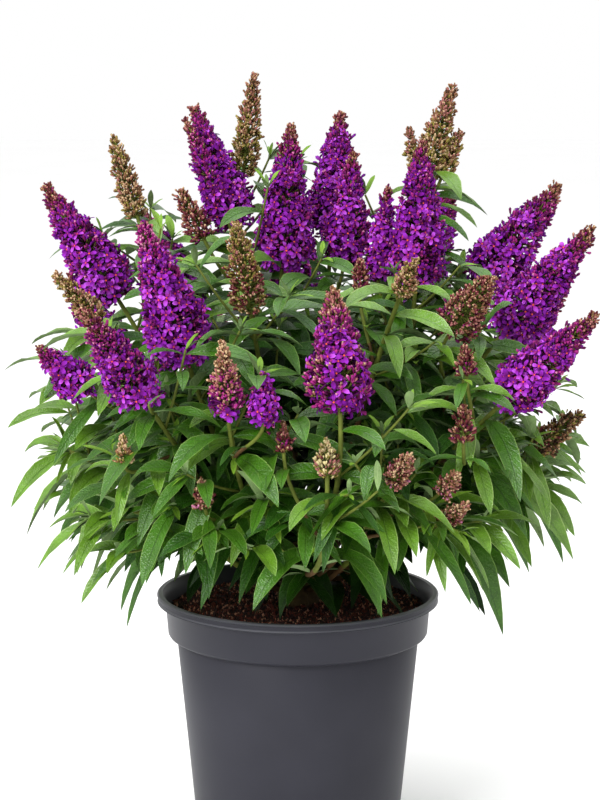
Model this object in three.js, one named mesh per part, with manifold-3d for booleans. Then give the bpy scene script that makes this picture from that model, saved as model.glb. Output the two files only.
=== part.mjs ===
import * as THREE from 'three';
import { mergeVertices } from 'three/addons/utils/BufferGeometryUtils.js';
import Module from 'manifold-3d';

// A butterfly bush in bloom, growing in the round plastic container it is sold in.
// A short woody foot stands on the compost. Stems fan out from it and arch outwards:
// the lower length of each is a bough, the rest is a mass of foliage with its flower spikes.
// Millimetres and degrees, +Z up. The origin is the centre of the container's flat underside.

const GAP = 0.3;                // between neighbouring solids

// Container
const POT_HEIGHT = 205;
const POT_BASE_RADIUS = 83;
const POT_BASE_EDGE = 3;        // bevel round the underside
const POT_BODY_RADIUS = 99.2;   // just under the collar
const COLLAR_LOW_RADIUS = 106.6;
const COLLAR_RADIUS = 108.4;    // just under the lip
const COLLAR_HEIGHT = 33;
const COLLAR_STEP = 10;         // height over which the collar swells out of the body
const COLLAR_BEVEL = 1.5;
const LIP_RADIUS = 115.5;
const LIP_HEIGHT = 7;
const LIP_BEVEL = 1.5;
const LIP_WIDTH = 6;
const POT_WALL = 2;
const POT_FLOOR = 3;
const POT_SIDES = 36;
const DRAIN_RADIUS = 6;
const DRAIN_REACH = 60;
const DRAINS = 6;

// Compost
const SOIL_LEVEL = POT_HEIGHT - 13;
const SOIL_FLAT = 26;           // level patch round the foot
const SOIL_RINGS = [78, 52];    // rings of points between the level patch and the wall
const SOIL_LUMP = 2.2;

// Woody foot, with rings of stems round it and a few out of its flat top
const FOOT_HEIGHT = 62;
const FOOT_RADIUS = 14.5;
const FOOT_FLARE = 19;
const FOOT_SIDES = 12;
const RINGS = 5;
const RING_FIRST = 17;          // height of the lowest ring over the compost
const RING_STEP = 9;
const RING_ROOM = 31;           // degrees that two stems of one ring keep apart
const TOP_REACH = 8.5;

// Stems
const BOUGH_RADIUS = 3.4;       // at the foot
const STEM_RADIUS = 3;          // where a bough ends and its mass begins
const STEM_TIP_RADIUS = 2;
const BOUGH_SHARE = 0.36;       // of a stem's length
const BOUGH_SIDES = 5;
const SIDE_RADIUS = 1.6;        // of the side twig that carries a side spike
const TWIG_RADIUS = 1;
const START_REACH = 24;         // a stem leaves the foot level before it turns up
const STEM_FACET = 50;          // length of one facet of a stem in its mass
const STEM_BENDS = 0.4;         // share of a stem's span over which it bends in to its spike
const SIDE_LEAVES = 60;         // lean at which a side twig sets off
const SIDE_TURNS = 0.45;        // how soon it does

// Leaves
const LEAF_LONG = 98;           // low on a stem
const LEAF_SHORT = 60;          // just under a flower spike
const LEAF_SLIM_LOW = 0.29;     // width to length, low on a stem
const LEAF_SLIM_HIGH = 0.23;
const LEAF_BROADER = 1.2;       // fewer leaves than the plant has, so each is broader
const LEAF_THICK = 0.018;       // of its length
const LEAF_VARIES = [0.8, 1.15];
const DROOP_VARIES = [0.65, 1.35];
const NODE_STEP = 19;           // between pairs of leaves
const NODE_FIRST = 16;
const PAIR_TURN = 68;           // each pair is turned past the one below it
const NODES_TAKEN = 2;          // every second pair is modelled
const ROUND_SPREAD = 40;
const SLANT_LOW = 72;           // between stem and leaf, low on the stem
const SLANT_HIGH = 50;          // and just under a flower spike
const SLANT_SPREAD = 16;
const DROOP_LOW = 1.25;
const DROOP_HIGH = 0.85;
const ROLL_SPREAD = 40;
const RISE = 0.22;              // the steepest that a leaf sets out, as it turns its face to the light
const FACE_TURN = 20;           // how far a leaf at the side turns its face to the light in front
const LEAF_SIZES = [1, 0.82, 0.66];
const TWIG_LONG = 62;
const TWIG_VARIES = [0.6, 1.2];
const TWIG_SHARE = 0.4;
const TWIG_SLANT = 46;
const TWIG_TURN = 20;           // past its leaf, round the stem
const TWIG_LIFT = 0.18;         // how far a twig's tip rises, of its length
const TWIG_LEAF_AT = 0.94;
const TWIG_LEAF_SLANT = 42;
const TWIG_LEAF_DROOP = 0.7;
const TWIG_LEAF_VARIES = [0.8, 1.2];
const SEED = 20611;

// Room between the masses
const ROUNDINGS = [1e-3, 1e-4]; // a fused body stays closed when its points are rounded to these
const CLEAR = 1.2;              // what a leaf keeps from another mass's stems, a bough and the pot
const CROWN_REACH = 252;        // no leaf tip lies further from the upright axis
const SKIRT = 232;              // how low the crown hangs in front and behind
const SKIRT_DROP = 42;          // and how much lower at its two sides
const SIDE_REACH = 190;
const REACH_OVER = 24;          // how far past the middle between two masses a leaf may reach
const CELL = 4;                 // cells next to a leaf are closed to the leaves of other masses
const SAMPLE = 3.2;             // between the points of a leaf that are looked at

// One row a stem: the way it turns from +X, how far out and how high its flower spike starts,
// the spike's lean away from upright, its length and its width. A stem with no bough is one
// mass from the foot on, and a stem with no spike ends in young leaves.
const STEMS = [
  { name: 'left_high', turn: -178, reach: 145, height: 447, lean: 32, long: 108, wide: 50, bough: true },
  { name: 'left', turn: -159, reach: 166, height: 435, lean: 42, long: 54, wide: 22, bough: true },
  { name: 'left_front', turn: -123, reach: 209, height: 393, lean: 44, long: 102, wide: 44, bough: true },
  { name: 'front_left', turn: -125, reach: 147, height: 415, lean: 26, long: 120, wide: 54, bough: true },
  { name: 'back_left_high', turn: 149, reach: 156, height: 505, lean: 20, long: 72, wide: 24, bough: true },
  { name: 'top_left', turn: 154, reach: 56, height: 503, lean: 22, long: 106, wide: 46, bough: true },
  { name: 'top', turn: 123, reach: 83, height: 541, lean: -12, long: 86, wide: 26, bough: true },
  { name: 'middle_left', turn: -111, reach: 102, height: 449, lean: 22, long: 76, wide: 30, bough: true },
  { name: 'centre', turn: 130, reach: 20, height: 470, lean: -6, long: 118, wide: 50, bough: true },
  { name: 'top_right', turn: 33, reach: 128, height: 544, lean: 20, long: 76, wide: 29, bough: true },
  { name: 'right_high', turn: -15, reach: 97, height: 461, lean: 2, long: 114, wide: 50, bough: true },
  { name: 'middle_right', turn: -57, reach: 143, height: 463, lean: 32, long: 36, wide: 21, bough: true },
  { name: 'right', turn: 9, reach: 152, height: 454, lean: 38, long: 104, wide: 54, bough: true },
  { name: 'right_front', turn: -22, reach: 174, height: 428, lean: 40, long: 110, wide: 50, bough: true },
  { name: 'right_low', turn: -38, reach: 201, height: 384, lean: 48, long: 106, wide: 46, bough: true },
  { name: 'front', turn: -81, reach: 198, height: 388, lean: -20, long: 92, wide: 54, bough: true },
  { name: 'front_low_left', turn: -105, reach: 197, height: 384, lean: 14, long: 58, wide: 30 },
  { name: 'front_low', turn: -84, reach: 207, height: 341, lean: -10, long: 26, wide: 21 },
  { name: 'front_low_right', turn: -70, reach: 206, height: 333, lean: 50, long: 40, wide: 22 },
  { name: 'right_side', turn: -23, reach: 202, height: 339, lean: 52, long: 48, wide: 25 },
  { name: 'back_high', turn: 72, reach: 92, height: 492, lean: 14, long: 104, wide: 50, bough: true },
  { name: 'back_left', turn: 128, reach: 152, height: 440, lean: 34, long: 104, wide: 54, bough: true },
  { name: 'back', turn: 92, reach: 160, height: 428, lean: 36, long: 116, wide: 56, bough: true },
  { name: 'back_right', turn: 52, reach: 158, height: 436, lean: 34, long: 110, wide: 56, bough: true },
  { name: 'back_low_left', turn: 150, reach: 196, height: 382, lean: 44, long: 96, wide: 48 },
  { name: 'back_low', turn: 108, reach: 204, height: 366, lean: 44, long: 70, wide: 36 },
  { name: 'back_low_right', turn: 70, reach: 206, height: 372, lean: 42, long: 98, wide: 46 },
  { name: 'right_back_low', turn: 30, reach: 202, height: 378, lean: 46, long: 92, wide: 46 },
  { name: 'leafy_left', turn: -165, reach: 188, height: 330, lean: 66 },
  { name: 'leafy_left_low', turn: -134, reach: 184, height: 300, lean: 72 },
  { name: 'leafy_front_left', turn: -98, reach: 180, height: 314, lean: 70 },
  { name: 'leafy_front_right', turn: -57, reach: 184, height: 306, lean: 72 },
  { name: 'leafy_right', turn: -8, reach: 186, height: 300, lean: 74 },
  { name: 'leafy_right_back', turn: 44, reach: 186, height: 300, lean: 72 },
  { name: 'leafy_back', turn: 90, reach: 186, height: 312, lean: 70 },
  { name: 'leafy_left_back', turn: 136, reach: 186, height: 300, lean: 72 },
  { name: 'leafy_left_side', turn: 172, reach: 188, height: 312, lean: 70 },
];

// Side spikes: the stem each one forks from, how far up that stem, and the same sizes.
const SIDES = [
  { of: 'left', from: 0.5, turn: -150, reach: 190, height: 388, lean: 48, long: 52, wide: 36 },
  { of: 'left_front', from: 0.72, turn: -127, reach: 214, height: 344, lean: 6, long: 20, wide: 17 },
  { of: 'top_left', from: 0.7, turn: -172, reach: 76, height: 496, lean: 26, long: 44, wide: 25 },
  { of: 'top_left', from: 0.84, turn: 166, reach: 63, height: 521, lean: 24, long: 76, wide: 28 },
  { of: 'centre', from: 0.6, turn: 34, reach: 45, height: 472, lean: 6, long: 92, wide: 44 },
  { of: 'top_right', from: 0.86, turn: 31, reach: 138, height: 537, lean: 26, long: 46, wide: 20 },
  { of: 'top_right', from: 0.9, turn: 35, reach: 121, height: 547, lean: -16, long: 34, wide: 17 },
  { of: 'right_high', from: 0.7, turn: -2, reach: 65, height: 464, lean: 6, long: 74, wide: 30 },
  { of: 'middle_right', from: 0.66, turn: -55, reach: 84, height: 462, lean: 2, long: 24, wide: 19 },
  { of: 'right_front', from: 0.62, turn: -46, reach: 167, height: 435, lean: 42, long: 60, wide: 36 },
  { of: 'right_low', from: 0.66, turn: -55, reach: 214, height: 361, lean: -2, long: 28, wide: 21 },
  { of: 'right_low', from: 0.76, turn: -49, reach: 193, height: 406, lean: -6, long: 23, wide: 20 },
  { of: 'front_low_left', from: 0.82, turn: -97, reach: 200, height: 381, lean: 4, long: 34, wide: 28 },
  { of: 'front_low_left', from: 0.55, turn: -110, reach: 200, height: 314, lean: 16, long: 22, wide: 18 },
  { of: 'front_low', from: 0.7, turn: -93, reach: 192, height: 356, lean: -8, long: 20, wide: 17 },
  { of: 'front_low_right', from: 0.66, turn: -59, reach: 208, height: 324, lean: 50, long: 26, wide: 19 },
  { of: 'front_low_right', from: 0.5, turn: -57, reach: 204, height: 300, lean: 58, long: 30, wide: 19 },
  { of: 'back', from: 0.62, turn: 104, reach: 168, height: 404, lean: 30, long: 34, wide: 22 },
  { of: 'back_right', from: 0.62, turn: 38, reach: 166, height: 410, lean: 34, long: 36, wide: 22 },
];

const wasm = await Module();
wasm.setup();

const rad = THREE.MathUtils.degToRad;
const lerp = THREE.MathUtils.lerp;
const vary = ([least, most], draw) => lerp(least, most, draw);

// The same keys always give the same number from 0 to 1.
function chance(...keys) {
  let mixed = SEED;
  for (const key of keys) {
    mixed = Math.imul(mixed ^ (key + 101), 2654435761);
    mixed ^= mixed >>> 15;
    mixed = Math.imul(mixed, 2246822519);
    mixed ^= mixed >>> 13;
  }
  return (mixed >>> 0) / 4294967296;
}

function polar(turn, reach, height) {
  return new THREE.Vector3(reach * Math.cos(rad(turn)), reach * Math.sin(rad(turn)), height);
}

function leaning(turn, lean) {
  return polar(turn, Math.sin(rad(lean)), Math.cos(rad(lean)));
}

// Solids and meshes

function solid(geometry) {
  const bare = geometry.clone();
  bare.deleteAttribute('normal');
  bare.deleteAttribute('uv');
  const merged = mergeVertices(bare, 1e-4);
  const mesh = new wasm.Mesh({
    numProp: 3,
    vertProperties: new Float32Array(merged.attributes.position.array),
    triVerts: new Uint32Array(merged.index.array),
  });
  return new wasm.Manifold(mesh);
}

// Whether a mesh stays one closed surface once points closer than the rounding are one point.
function staysClosed({ vertProperties: points, triVerts: corners }, rounding) {
  const key = (i) => [0, 1, 2].map((axis) => Math.round(points[corners[i] * 3 + axis] / rounding)).join(' ');
  const edges = new Map();
  for (let i = 0; i < corners.length; i += 3) {
    const keys = [key(i), key(i + 1), key(i + 2)];
    if (new Set(keys).size < 3) continue;
    keys.forEach((from, j) => {
      const to = keys[(j + 1) % 3];
      const edge = from < to ? `${from} ${to}` : `${to} ${from}`;
      edges.set(edge, (edges.get(edge) ?? 0) + 1);
    });
  }
  return [...edges.values()].every((count) => count === 2);
}

// Pieces joined into one body. A piece that would leave a sliver is left out.
function fuse(pieces) {
  return pieces.map(solid).reduce((whole, piece) => {
    const joined = whole.add(piece);
    return ROUNDINGS.every((rounding) => staysClosed(joined.getMesh(), rounding)) ? joined : whole;
  });
}

// The largest closed shell of a fused body: a hollow sealed inside is filled, a loose scrap goes.
function largestShell({ vertProperties: points, triVerts: corners }) {
  const parent = Array.from({ length: points.length / 3 }, (_, i) => i);
  const root = (i) => {
    while (parent[i] !== i) i = parent[i] = parent[parent[i]];
    return i;
  };
  for (let i = 0; i < corners.length; i += 3) {
    parent[root(corners[i + 1])] = root(corners[i]);
    parent[root(corners[i + 2])] = root(corners[i]);
  }
  const volumes = new Map();
  const corner = (i) => new THREE.Vector3().fromArray(points, corners[i] * 3);
  for (let i = 0; i < corners.length; i += 3) {
    const key = root(corners[i]);
    const volume = corner(i).dot(corner(i + 1).cross(corner(i + 2))) / 6;
    volumes.set(key, (volumes.get(key) ?? 0) + volume);
  }
  const [largest] = [...volumes].sort((a, b) => b[1] - a[1])[0];
  return Array.from(corners).filter((_, i) => root(corners[i]) === largest);
}

function geometryOf(body) {
  const mesh = body.getMesh();
  const geometry = new THREE.BufferGeometry();
  geometry.setAttribute('position', new THREE.BufferAttribute(new Float32Array(mesh.vertProperties), 3));
  geometry.setIndex(largestShell(mesh));
  geometry.computeVertexNormals();
  return geometry;
}

// A round or leaf-shaped solid is an upright cylinder or ball laid along a path: what stood at
// its top comes to the path's start, and shape(along, x, z) says where a point of the section
// goes, across and up from the path.
function layAlong(geometry, path, shape) {
  const laid = geometry.clone();
  const points = laid.attributes.position;
  laid.computeBoundingBox();
  const { min, max } = laid.boundingBox;
  for (let i = 0; i < points.count; i++) {
    const along = (max.y - points.getY(i)) / (max.y - min.y);
    const { place, across, up } = path(along);
    const [right, rise] = shape(along, points.getX(i), points.getZ(i));
    points.setXYZ(i, ...place.clone().addScaledVector(across, right).addScaledVector(up, rise));
  }
  return laid;
}

function directions(way, turn) {
  const across = new THREE.Vector3(-Math.sin(rad(turn)), Math.cos(rad(turn)), 0);
  across.addScaledVector(way, -across.dot(way)).normalize();
  return { across, up: way.clone().cross(across) };
}

function alongCurve(curve, first, last, turn) {
  return (along) => {
    const at = lerp(first, last, along);
    return { place: curve.getPointAt(at), ...directions(curve.getTangentAt(at), turn) };
  };
}

function limb(curve, first, last, turn, firstRadius, lastRadius, sides, steps) {
  const rod = new THREE.CylinderGeometry(1, 1, 1, sides, steps);
  const radius = (along) => lerp(firstRadius, lastRadius, along);
  const shape = (along, x, z) => [x * radius(along), z * radius(along)];
  return layAlong(rod, alongCurve(curve, first, last, turn), shape);
}

// Where each stem runs

function footRadiusAt(height) {
  return lerp(FOOT_FLARE, FOOT_RADIUS, Math.min(1, height / RING_FIRST));
}

// The flattest stems leave the foot lowest, each in the first ring that has room for it. Those
// left over share the top evenly, in the order of their turns.
function seatStems() {
  const flatness = (stem) => stem.reach / (stem.height - SOIL_LEVEL);
  const rings = Array.from({ length: RINGS }, () => []);
  const onTop = [];
  const apart = (a, b) => Math.abs(((a - b + 540) % 360) - 180);
  for (const stem of [...STEMS].sort((a, b) => flatness(b) - flatness(a))) {
    const ring = rings.findIndex((turns) => turns.every((turn) => apart(turn, stem.turn) >= RING_ROOM));
    if (ring < 0) {
      onTop.push(stem);
    } else {
      const height = RING_FIRST + ring * RING_STEP;
      stem.start = polar(stem.turn, footRadiusAt(height) + GAP, SOIL_LEVEL + height);
      stem.leaving = polar(stem.turn, START_REACH, 0);
      rings[ring].push(stem.turn);
    }
  }
  onTop.sort((a, b) => a.turn - b.turn);
  onTop.forEach((stem, seat) => {
    const turn = onTop[0].turn + 360 * seat / onTop.length;
    stem.start = polar(turn, TOP_REACH, SOIL_LEVEL + FOOT_HEIGHT + GAP);
    stem.leaving = new THREE.Vector3(0, 0, START_REACH);
  });
}

function spikeOf({ turn, reach, height, lean, long = 0, wide = 0 }) {
  const base = polar(turn, reach, height);
  const way = leaning(turn, lean);
  return { base, way, long, wide, tip: base.clone().addScaledVector(way, long) };
}

function runStem(stem) {
  stem.spike = spikeOf(stem);
  const { base, way } = stem.spike;
  const span = stem.start.distanceTo(base);
  stem.curve = new THREE.CubicBezierCurve3(
    stem.start,
    stem.start.clone().add(stem.leaving),
    base.clone().addScaledVector(way, -STEM_BENDS * span),
    base,
  );
  stem.long = stem.long ?? 0;
  stem.length = stem.curve.getLength();
  stem.first = stem.bough ? BOUGH_SHARE : 0;
}

function runSide(side) {
  const parent = STEMS.find((stem) => stem.name === side.of);
  const start = parent.curve.getPointAt(side.from);
  side.spike = spikeOf(side);
  const { base, way } = side.spike;
  const span = start.distanceTo(base);
  const leaving = parent.curve.getTangentAt(side.from);
  leaving.lerp(leaning(side.turn, SIDE_LEAVES), SIDE_TURNS).normalize();
  side.curve = new THREE.CubicBezierCurve3(
    start,
    start.clone().addScaledVector(leaving, STEM_BENDS * span),
    base.clone().addScaledVector(way, -STEM_BENDS * span),
    base,
  );
  side.length = side.curve.getLength();
  parent.sides.push(side);
}

seatStems();
STEMS.forEach((stem, number) => {
  stem.number = number;
  stem.sides = [];
  runStem(stem);
});
SIDES.forEach(runSide);

// The space of each mass: a point belongs to the mass whose stem, side twig or spike is nearest.

function rod(from, to, fromRadius, toRadius) {
  return { from, line: to.clone().sub(from), square: to.distanceToSquared(from), fromRadius, toRadius };
}

function distanceTo(part, point) {
  const away = point.clone().sub(part.from);
  const at = THREE.MathUtils.clamp(away.dot(part.line) / part.square, 0, 1);
  return away.addScaledVector(part.line, -at).length() - lerp(part.fromRadius, part.toRadius, at);
}

function rodsAlong(curve, first, last, fromRadius, toRadius, steps) {
  return Array.from({ length: steps }, (_, i) => rod(
    curve.getPointAt(lerp(first, last, i / steps)),
    curve.getPointAt(lerp(first, last, (i + 1) / steps)),
    lerp(fromRadius, toRadius, i / steps),
    lerp(fromRadius, toRadius, (i + 1) / steps),
  ));
}

const SPIKE_BELLY = 0.16;       // where a spike is widest, of its length
const SPIKE_BASE = 0.6;         // its width at its foot, of its greatest width
const SPIKE_TIP_RADIUS = 3;

function rodsOfSpike({ base, tip, long, wide }) {
  if (!long) return [];
  const belly = base.clone().lerp(tip, SPIKE_BELLY);
  return [
    rod(base, belly, wide / 2 * SPIKE_BASE, wide / 2),
    rod(belly, tip, wide / 2, SPIKE_TIP_RADIUS),
  ];
}

const BOUGHS = [];
for (const stem of STEMS) {
  stem.rods = [
    ...rodsAlong(stem.curve, stem.first, 1, STEM_RADIUS, STEM_TIP_RADIUS, 6),
    ...rodsOfSpike(stem.spike),
    ...stem.sides.flatMap((side) => [
      ...rodsAlong(side.curve, 0, 1, SIDE_RADIUS, SIDE_RADIUS, 3),
      ...rodsOfSpike(side.spike),
    ]),
  ];
  if (stem.bough) BOUGHS.push(...rodsAlong(stem.curve, 0, stem.first, BOUGH_RADIUS, STEM_RADIUS, 4));
}

const nearest = (rods, point) => Math.min(...rods.map((part) => distanceTo(part, point)));

function clearOfPot(point) {
  const reach = Math.hypot(point.x, point.y);
  if (point.z > POT_HEIGHT + CLEAR || reach > LIP_RADIUS + CLEAR) return true;
  return reach < LIP_RADIUS - LIP_WIDTH - CLEAR * 2 && point.z > SOIL_LEVEL + SOIL_LUMP + CLEAR;
}

function aboveSkirt(point) {
  const sideways = Math.min(1, Math.abs(point.x) / SIDE_REACH);
  return point.z > SKIRT - SKIRT_DROP * sideways ** 1.5 || Math.hypot(point.x, point.y) < COLLAR_LOW_RADIUS;
}

// Each cell is open, kept by one mass, or closed to all when two masses come near it.
const keepers = new Map();
const CLOSED = -1;
const cellOf = (value) => Math.floor(value / CELL) + 512;
const keyOf = (i, j, k) => (i * 1024 + j) * 1024 + k;

function keepCells(points, number) {
  for (const point of points) {
    const [i, j, k] = [point.x, point.y, point.z].map(cellOf);
    for (let near = 0; near < 27; near++) {
      const key = keyOf(i + near % 3 - 1, j + Math.floor(near / 3) % 3 - 1, k + Math.floor(near / 9) - 1);
      const keeper = keepers.get(key) ?? number;
      keepers.set(key, keeper === number ? number : CLOSED);
    }
  }
}

function inOwnSpace(point, stem) {
  if (Math.hypot(point.x, point.y) > CROWN_REACH) return false;
  const keeper = keepers.get(keyOf(...[point.x, point.y, point.z].map(cellOf))) ?? stem.number;
  if (keeper !== stem.number || !clearOfPot(point) || !aboveSkirt(point)) return false;
  const besideFoot = Math.hypot(point.x, point.y) < FOOT_FLARE + CLEAR;
  if (besideFoot && point.z < SOIL_LEVEL + FOOT_HEIGHT + CLEAR) return false;
  if (nearest(BOUGHS, point) < CLEAR) return false;
  const room = Math.max(CLEAR, nearest(stem.rods, point) - REACH_OVER);
  return STEMS.every((other) => other === stem || nearest(other.rods, point) > room);
}

// Leaves: a blade leaves its stem on a slant and bends down under its weight.

function leafPath(root, way, long, { droop, roll }) {
  return (along) => {
    const place = root.clone()
      .addScaledVector(way, long * (along - 0.2 * droop * along * along))
      .add(new THREE.Vector3(0, 0, -0.5 * long * droop * along * along));
    const heading = way.clone().multiplyScalar(1 - 0.4 * droop * along);
    heading.z -= droop * along;
    heading.normalize();
    const across = new THREE.Vector3(-heading.y, heading.x, 0);
    if (across.lengthSq() < 0.01) across.set(-way.y, way.x, 0);
    across.normalize().applyAxisAngle(heading, rad(roll));
    return { place, across, up: heading.clone().cross(across) };
  };
}

// Half the width of a blade of width 1: widest two fifths of the way out, ending in a long point.
const BLADE_SWELL = 0.8;
const BLADE_TAPER = 1.05;
const BLADE_WIDEST = BLADE_SWELL / (BLADE_SWELL + BLADE_TAPER);

function bladeHalfWidth(along) {
  const outline = (at) => at ** BLADE_SWELL * (1 - at) ** BLADE_TAPER;
  return 0.5 * outline(along) / outline(BLADE_WIDEST);
}

function pointsOfLeaf(path, long, wide) {
  const points = [];
  const rows = Math.ceil(long / SAMPLE);
  for (let row = 2; row <= rows; row++) {
    const { place, across } = path(row / rows);
    const half = wide * bladeHalfWidth(row / rows);
    const columns = Math.ceil(half / SAMPLE);
    for (let column = -columns; column <= columns; column++) {
      points.push(place.clone().addScaledVector(across, half * column / (columns || 1)));
    }
  }
  return points;
}

// A blade's section is a flat triangle, with the midrib below and an edge on either side.
const BLADE = new THREE.SphereGeometry(1, 3, 3, -Math.PI / 2);
const SMALL_BLADE = new THREE.SphereGeometry(1, 3, 2, -Math.PI / 2);

function leafSolid(path, long, wide, blade) {
  const thick = long * LEAF_THICK;
  return layAlong(blade, path, (along, x, z) => {
    const size = Math.hypot(x, z);
    if (size < 1e-6) return [0, 0];
    const half = wide * bladeHalfWidth(along);
    return [x / size / Math.cos(Math.PI / 6) * half, z > 0 ? 0.35 * thick : -0.65 * thick];
  });
}

// The leaf goes in at the first of three sizes that has room.
function addLeaf(pieces, stem, root, way, long, slim, { droop, roll }, blade) {
  const level = new THREE.Vector3(way.x, way.y, Math.min(way.z, RISE)).normalize();
  const bend = { droop, roll: roll + FACE_TURN * level.x };
  for (const size of LEAF_SIZES) {
    const path = leafPath(root, level, long * size, bend);
    const wide = long * size * slim * LEAF_BROADER;
    const points = pointsOfLeaf(path, long * size, wide);
    if (points.every((point) => inOwnSpace(point, stem))) {
      pieces.push(leafSolid(path, long * size, wide, blade));
      keepCells(points, stem.number);
      return;
    }
  }
}

function slanting(way, turn, round, slant) {
  const { across, up } = directions(way, turn);
  return way.clone().multiplyScalar(Math.cos(rad(slant)))
    .addScaledVector(across, Math.sin(rad(slant)) * Math.cos(rad(round)))
    .addScaledVector(up, Math.sin(rad(slant)) * Math.sin(rad(round)));
}

// Pairs of leaves up a stem or twig, and now and then a short leafy twig in a leaf's axil.
function growLeaves(pieces, stem) {
  const low = stem.first * stem.length + NODE_FIRST;
  const count = Math.floor((stem.length - low) / NODE_STEP) + 1;
  for (let node = 0; node < count; node += NODES_TAKEN) {
    const at = (low + node * NODE_STEP) / stem.length;
    const place = stem.curve.getPointAt(at);
    const way = stem.curve.getTangentAt(at);
    for (const hand of [0, 1]) {
      const draw = (what) => chance(stem.number, node, hand, what);
      const round = node * PAIR_TURN + hand * 180 + ROUND_SPREAD * (draw(1) - 0.5);
      const long = lerp(LEAF_LONG, LEAF_SHORT, at) * vary(LEAF_VARIES, draw(2));
      const slim = lerp(LEAF_SLIM_LOW, LEAF_SLIM_HIGH, at);
      const slant = lerp(SLANT_LOW, SLANT_HIGH, at) + SLANT_SPREAD * (draw(3) - 0.5);
      const droop = lerp(DROOP_LOW, DROOP_HIGH, at) * vary(DROOP_VARIES, draw(4));
      const bend = { droop, roll: ROLL_SPREAD * (draw(6) - 0.5) };
      addLeaf(pieces, stem, place, slanting(way, stem.turn, round, slant), long, slim, bend, BLADE);
      if (draw(5) < TWIG_SHARE) {
        const twigWay = slanting(way, stem.turn, round + TWIG_TURN, TWIG_SLANT);
        growTwig(pieces, stem, place, twigWay, stem.number * 64 + node * 2 + hand);
      }
    }
  }
}

function growTwig(pieces, stem, place, way, key) {
  const long = TWIG_LONG * vary(TWIG_VARIES, chance(key, 6));
  const tip = place.clone().addScaledVector(way, long);
  tip.z += TWIG_LIFT * long;
  const curve = new THREE.QuadraticBezierCurve3(place, place.clone().addScaledVector(way, long / 2), tip);
  const steps = Math.ceil(long / SAMPLE);
  const points = Array.from({ length: steps }, (_, i) => curve.getPointAt((i + 1) / steps));
  if (!points.every((point) => inOwnSpace(point, stem))) return;
  keepCells(points, stem.number);
  pieces.push(limb(curve, 0, 1, stem.turn, TWIG_RADIUS, TWIG_RADIUS, 3, 1));
  const end = curve.getTangentAt(1);
  for (const hand of [0, 1]) {
    const out = slanting(end, stem.turn, 90 * chance(key, 7) + 180 * hand, TWIG_LEAF_SLANT);
    const leafLong = LEAF_SHORT * vary(TWIG_LEAF_VARIES, chance(key, hand, 8));
    const bend = { droop: TWIG_LEAF_DROOP, roll: ROLL_SPREAD * (chance(key, hand, 10) - 0.5) };
    const root = curve.getPointAt(TWIG_LEAF_AT);
    addLeaf(pieces, stem, root, out, leafLong, LEAF_SLIM_HIGH, bend, SMALL_BLADE);
  }
}

// Flower spikes: a lumpy taper, broad near its foot, with the stem running up into it.

const SPIKE_SINK = 0.06;        // how far a spike reaches back down its stem, of its length
const SMALL_SPIKE = 32;         // a narrower spike has fewer facets
const SPIKE_LUMP = 0.1;
const SPIKE_TIP = 0.14;         // its width at its tip, of its greatest width
const SPIKE_BEND = 1.15;        // how straight it tapers
const YOUNG_BASE = 0.8;         // a smaller spike, still in bud, is blunter at both ends
const YOUNG_TIP = 0.27;
const YOUNG_BEND = 1.5;

function spikeRadius(along, young) {
  const [foot, tip, bend] = young ? [YOUNG_BASE, YOUNG_TIP, YOUNG_BEND] : [SPIKE_BASE, SPIKE_TIP, SPIKE_BEND];
  const swell = lerp(foot, 1, Math.min(1, along / SPIKE_BELLY));
  const beyond = Math.max(0, along - SPIKE_BELLY) / (1 - SPIKE_BELLY);
  return swell * lerp(1, tip, beyond ** bend);
}

function spikeSolid({ base, way, long, wide }, turn) {
  const young = wide < SMALL_SPIKE;
  const [sides, rings] = young ? [5, 4] : [6, 6];
  const alongOf = (height) => Math.acos(1 - 2 * height) / Math.PI;
  const path = (height) => {
    const place = base.clone().addScaledVector(way, long * lerp(-SPIKE_SINK, 1, alongOf(height)));
    return { place, ...directions(way, turn) };
  };
  return layAlong(new THREE.SphereGeometry(1, sides, rings), path, (height, x, z) => {
    const ring = Math.round(alongOf(height) * rings);
    if (ring === 0 || ring === rings) return [0, 0];
    const lump = 1 + (ring % 2 ? SPIKE_LUMP : -SPIKE_LUMP);
    const stretch = wide / 2 * spikeRadius(ring / rings, young) * lump / Math.hypot(x, z);
    return [x * stretch, z * stretch];
  });
}

// Nodes

function mesh(name, geometry, material) {
  const node = new THREE.Mesh(geometry, material);
  node.name = name;
  return node;
}

function turned(profile, sides) {
  const points = profile.map(([reach, height]) => new THREE.Vector2(reach, height));
  return new THREE.LatheGeometry(points, sides).rotateX(Math.PI / 2);
}

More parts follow.
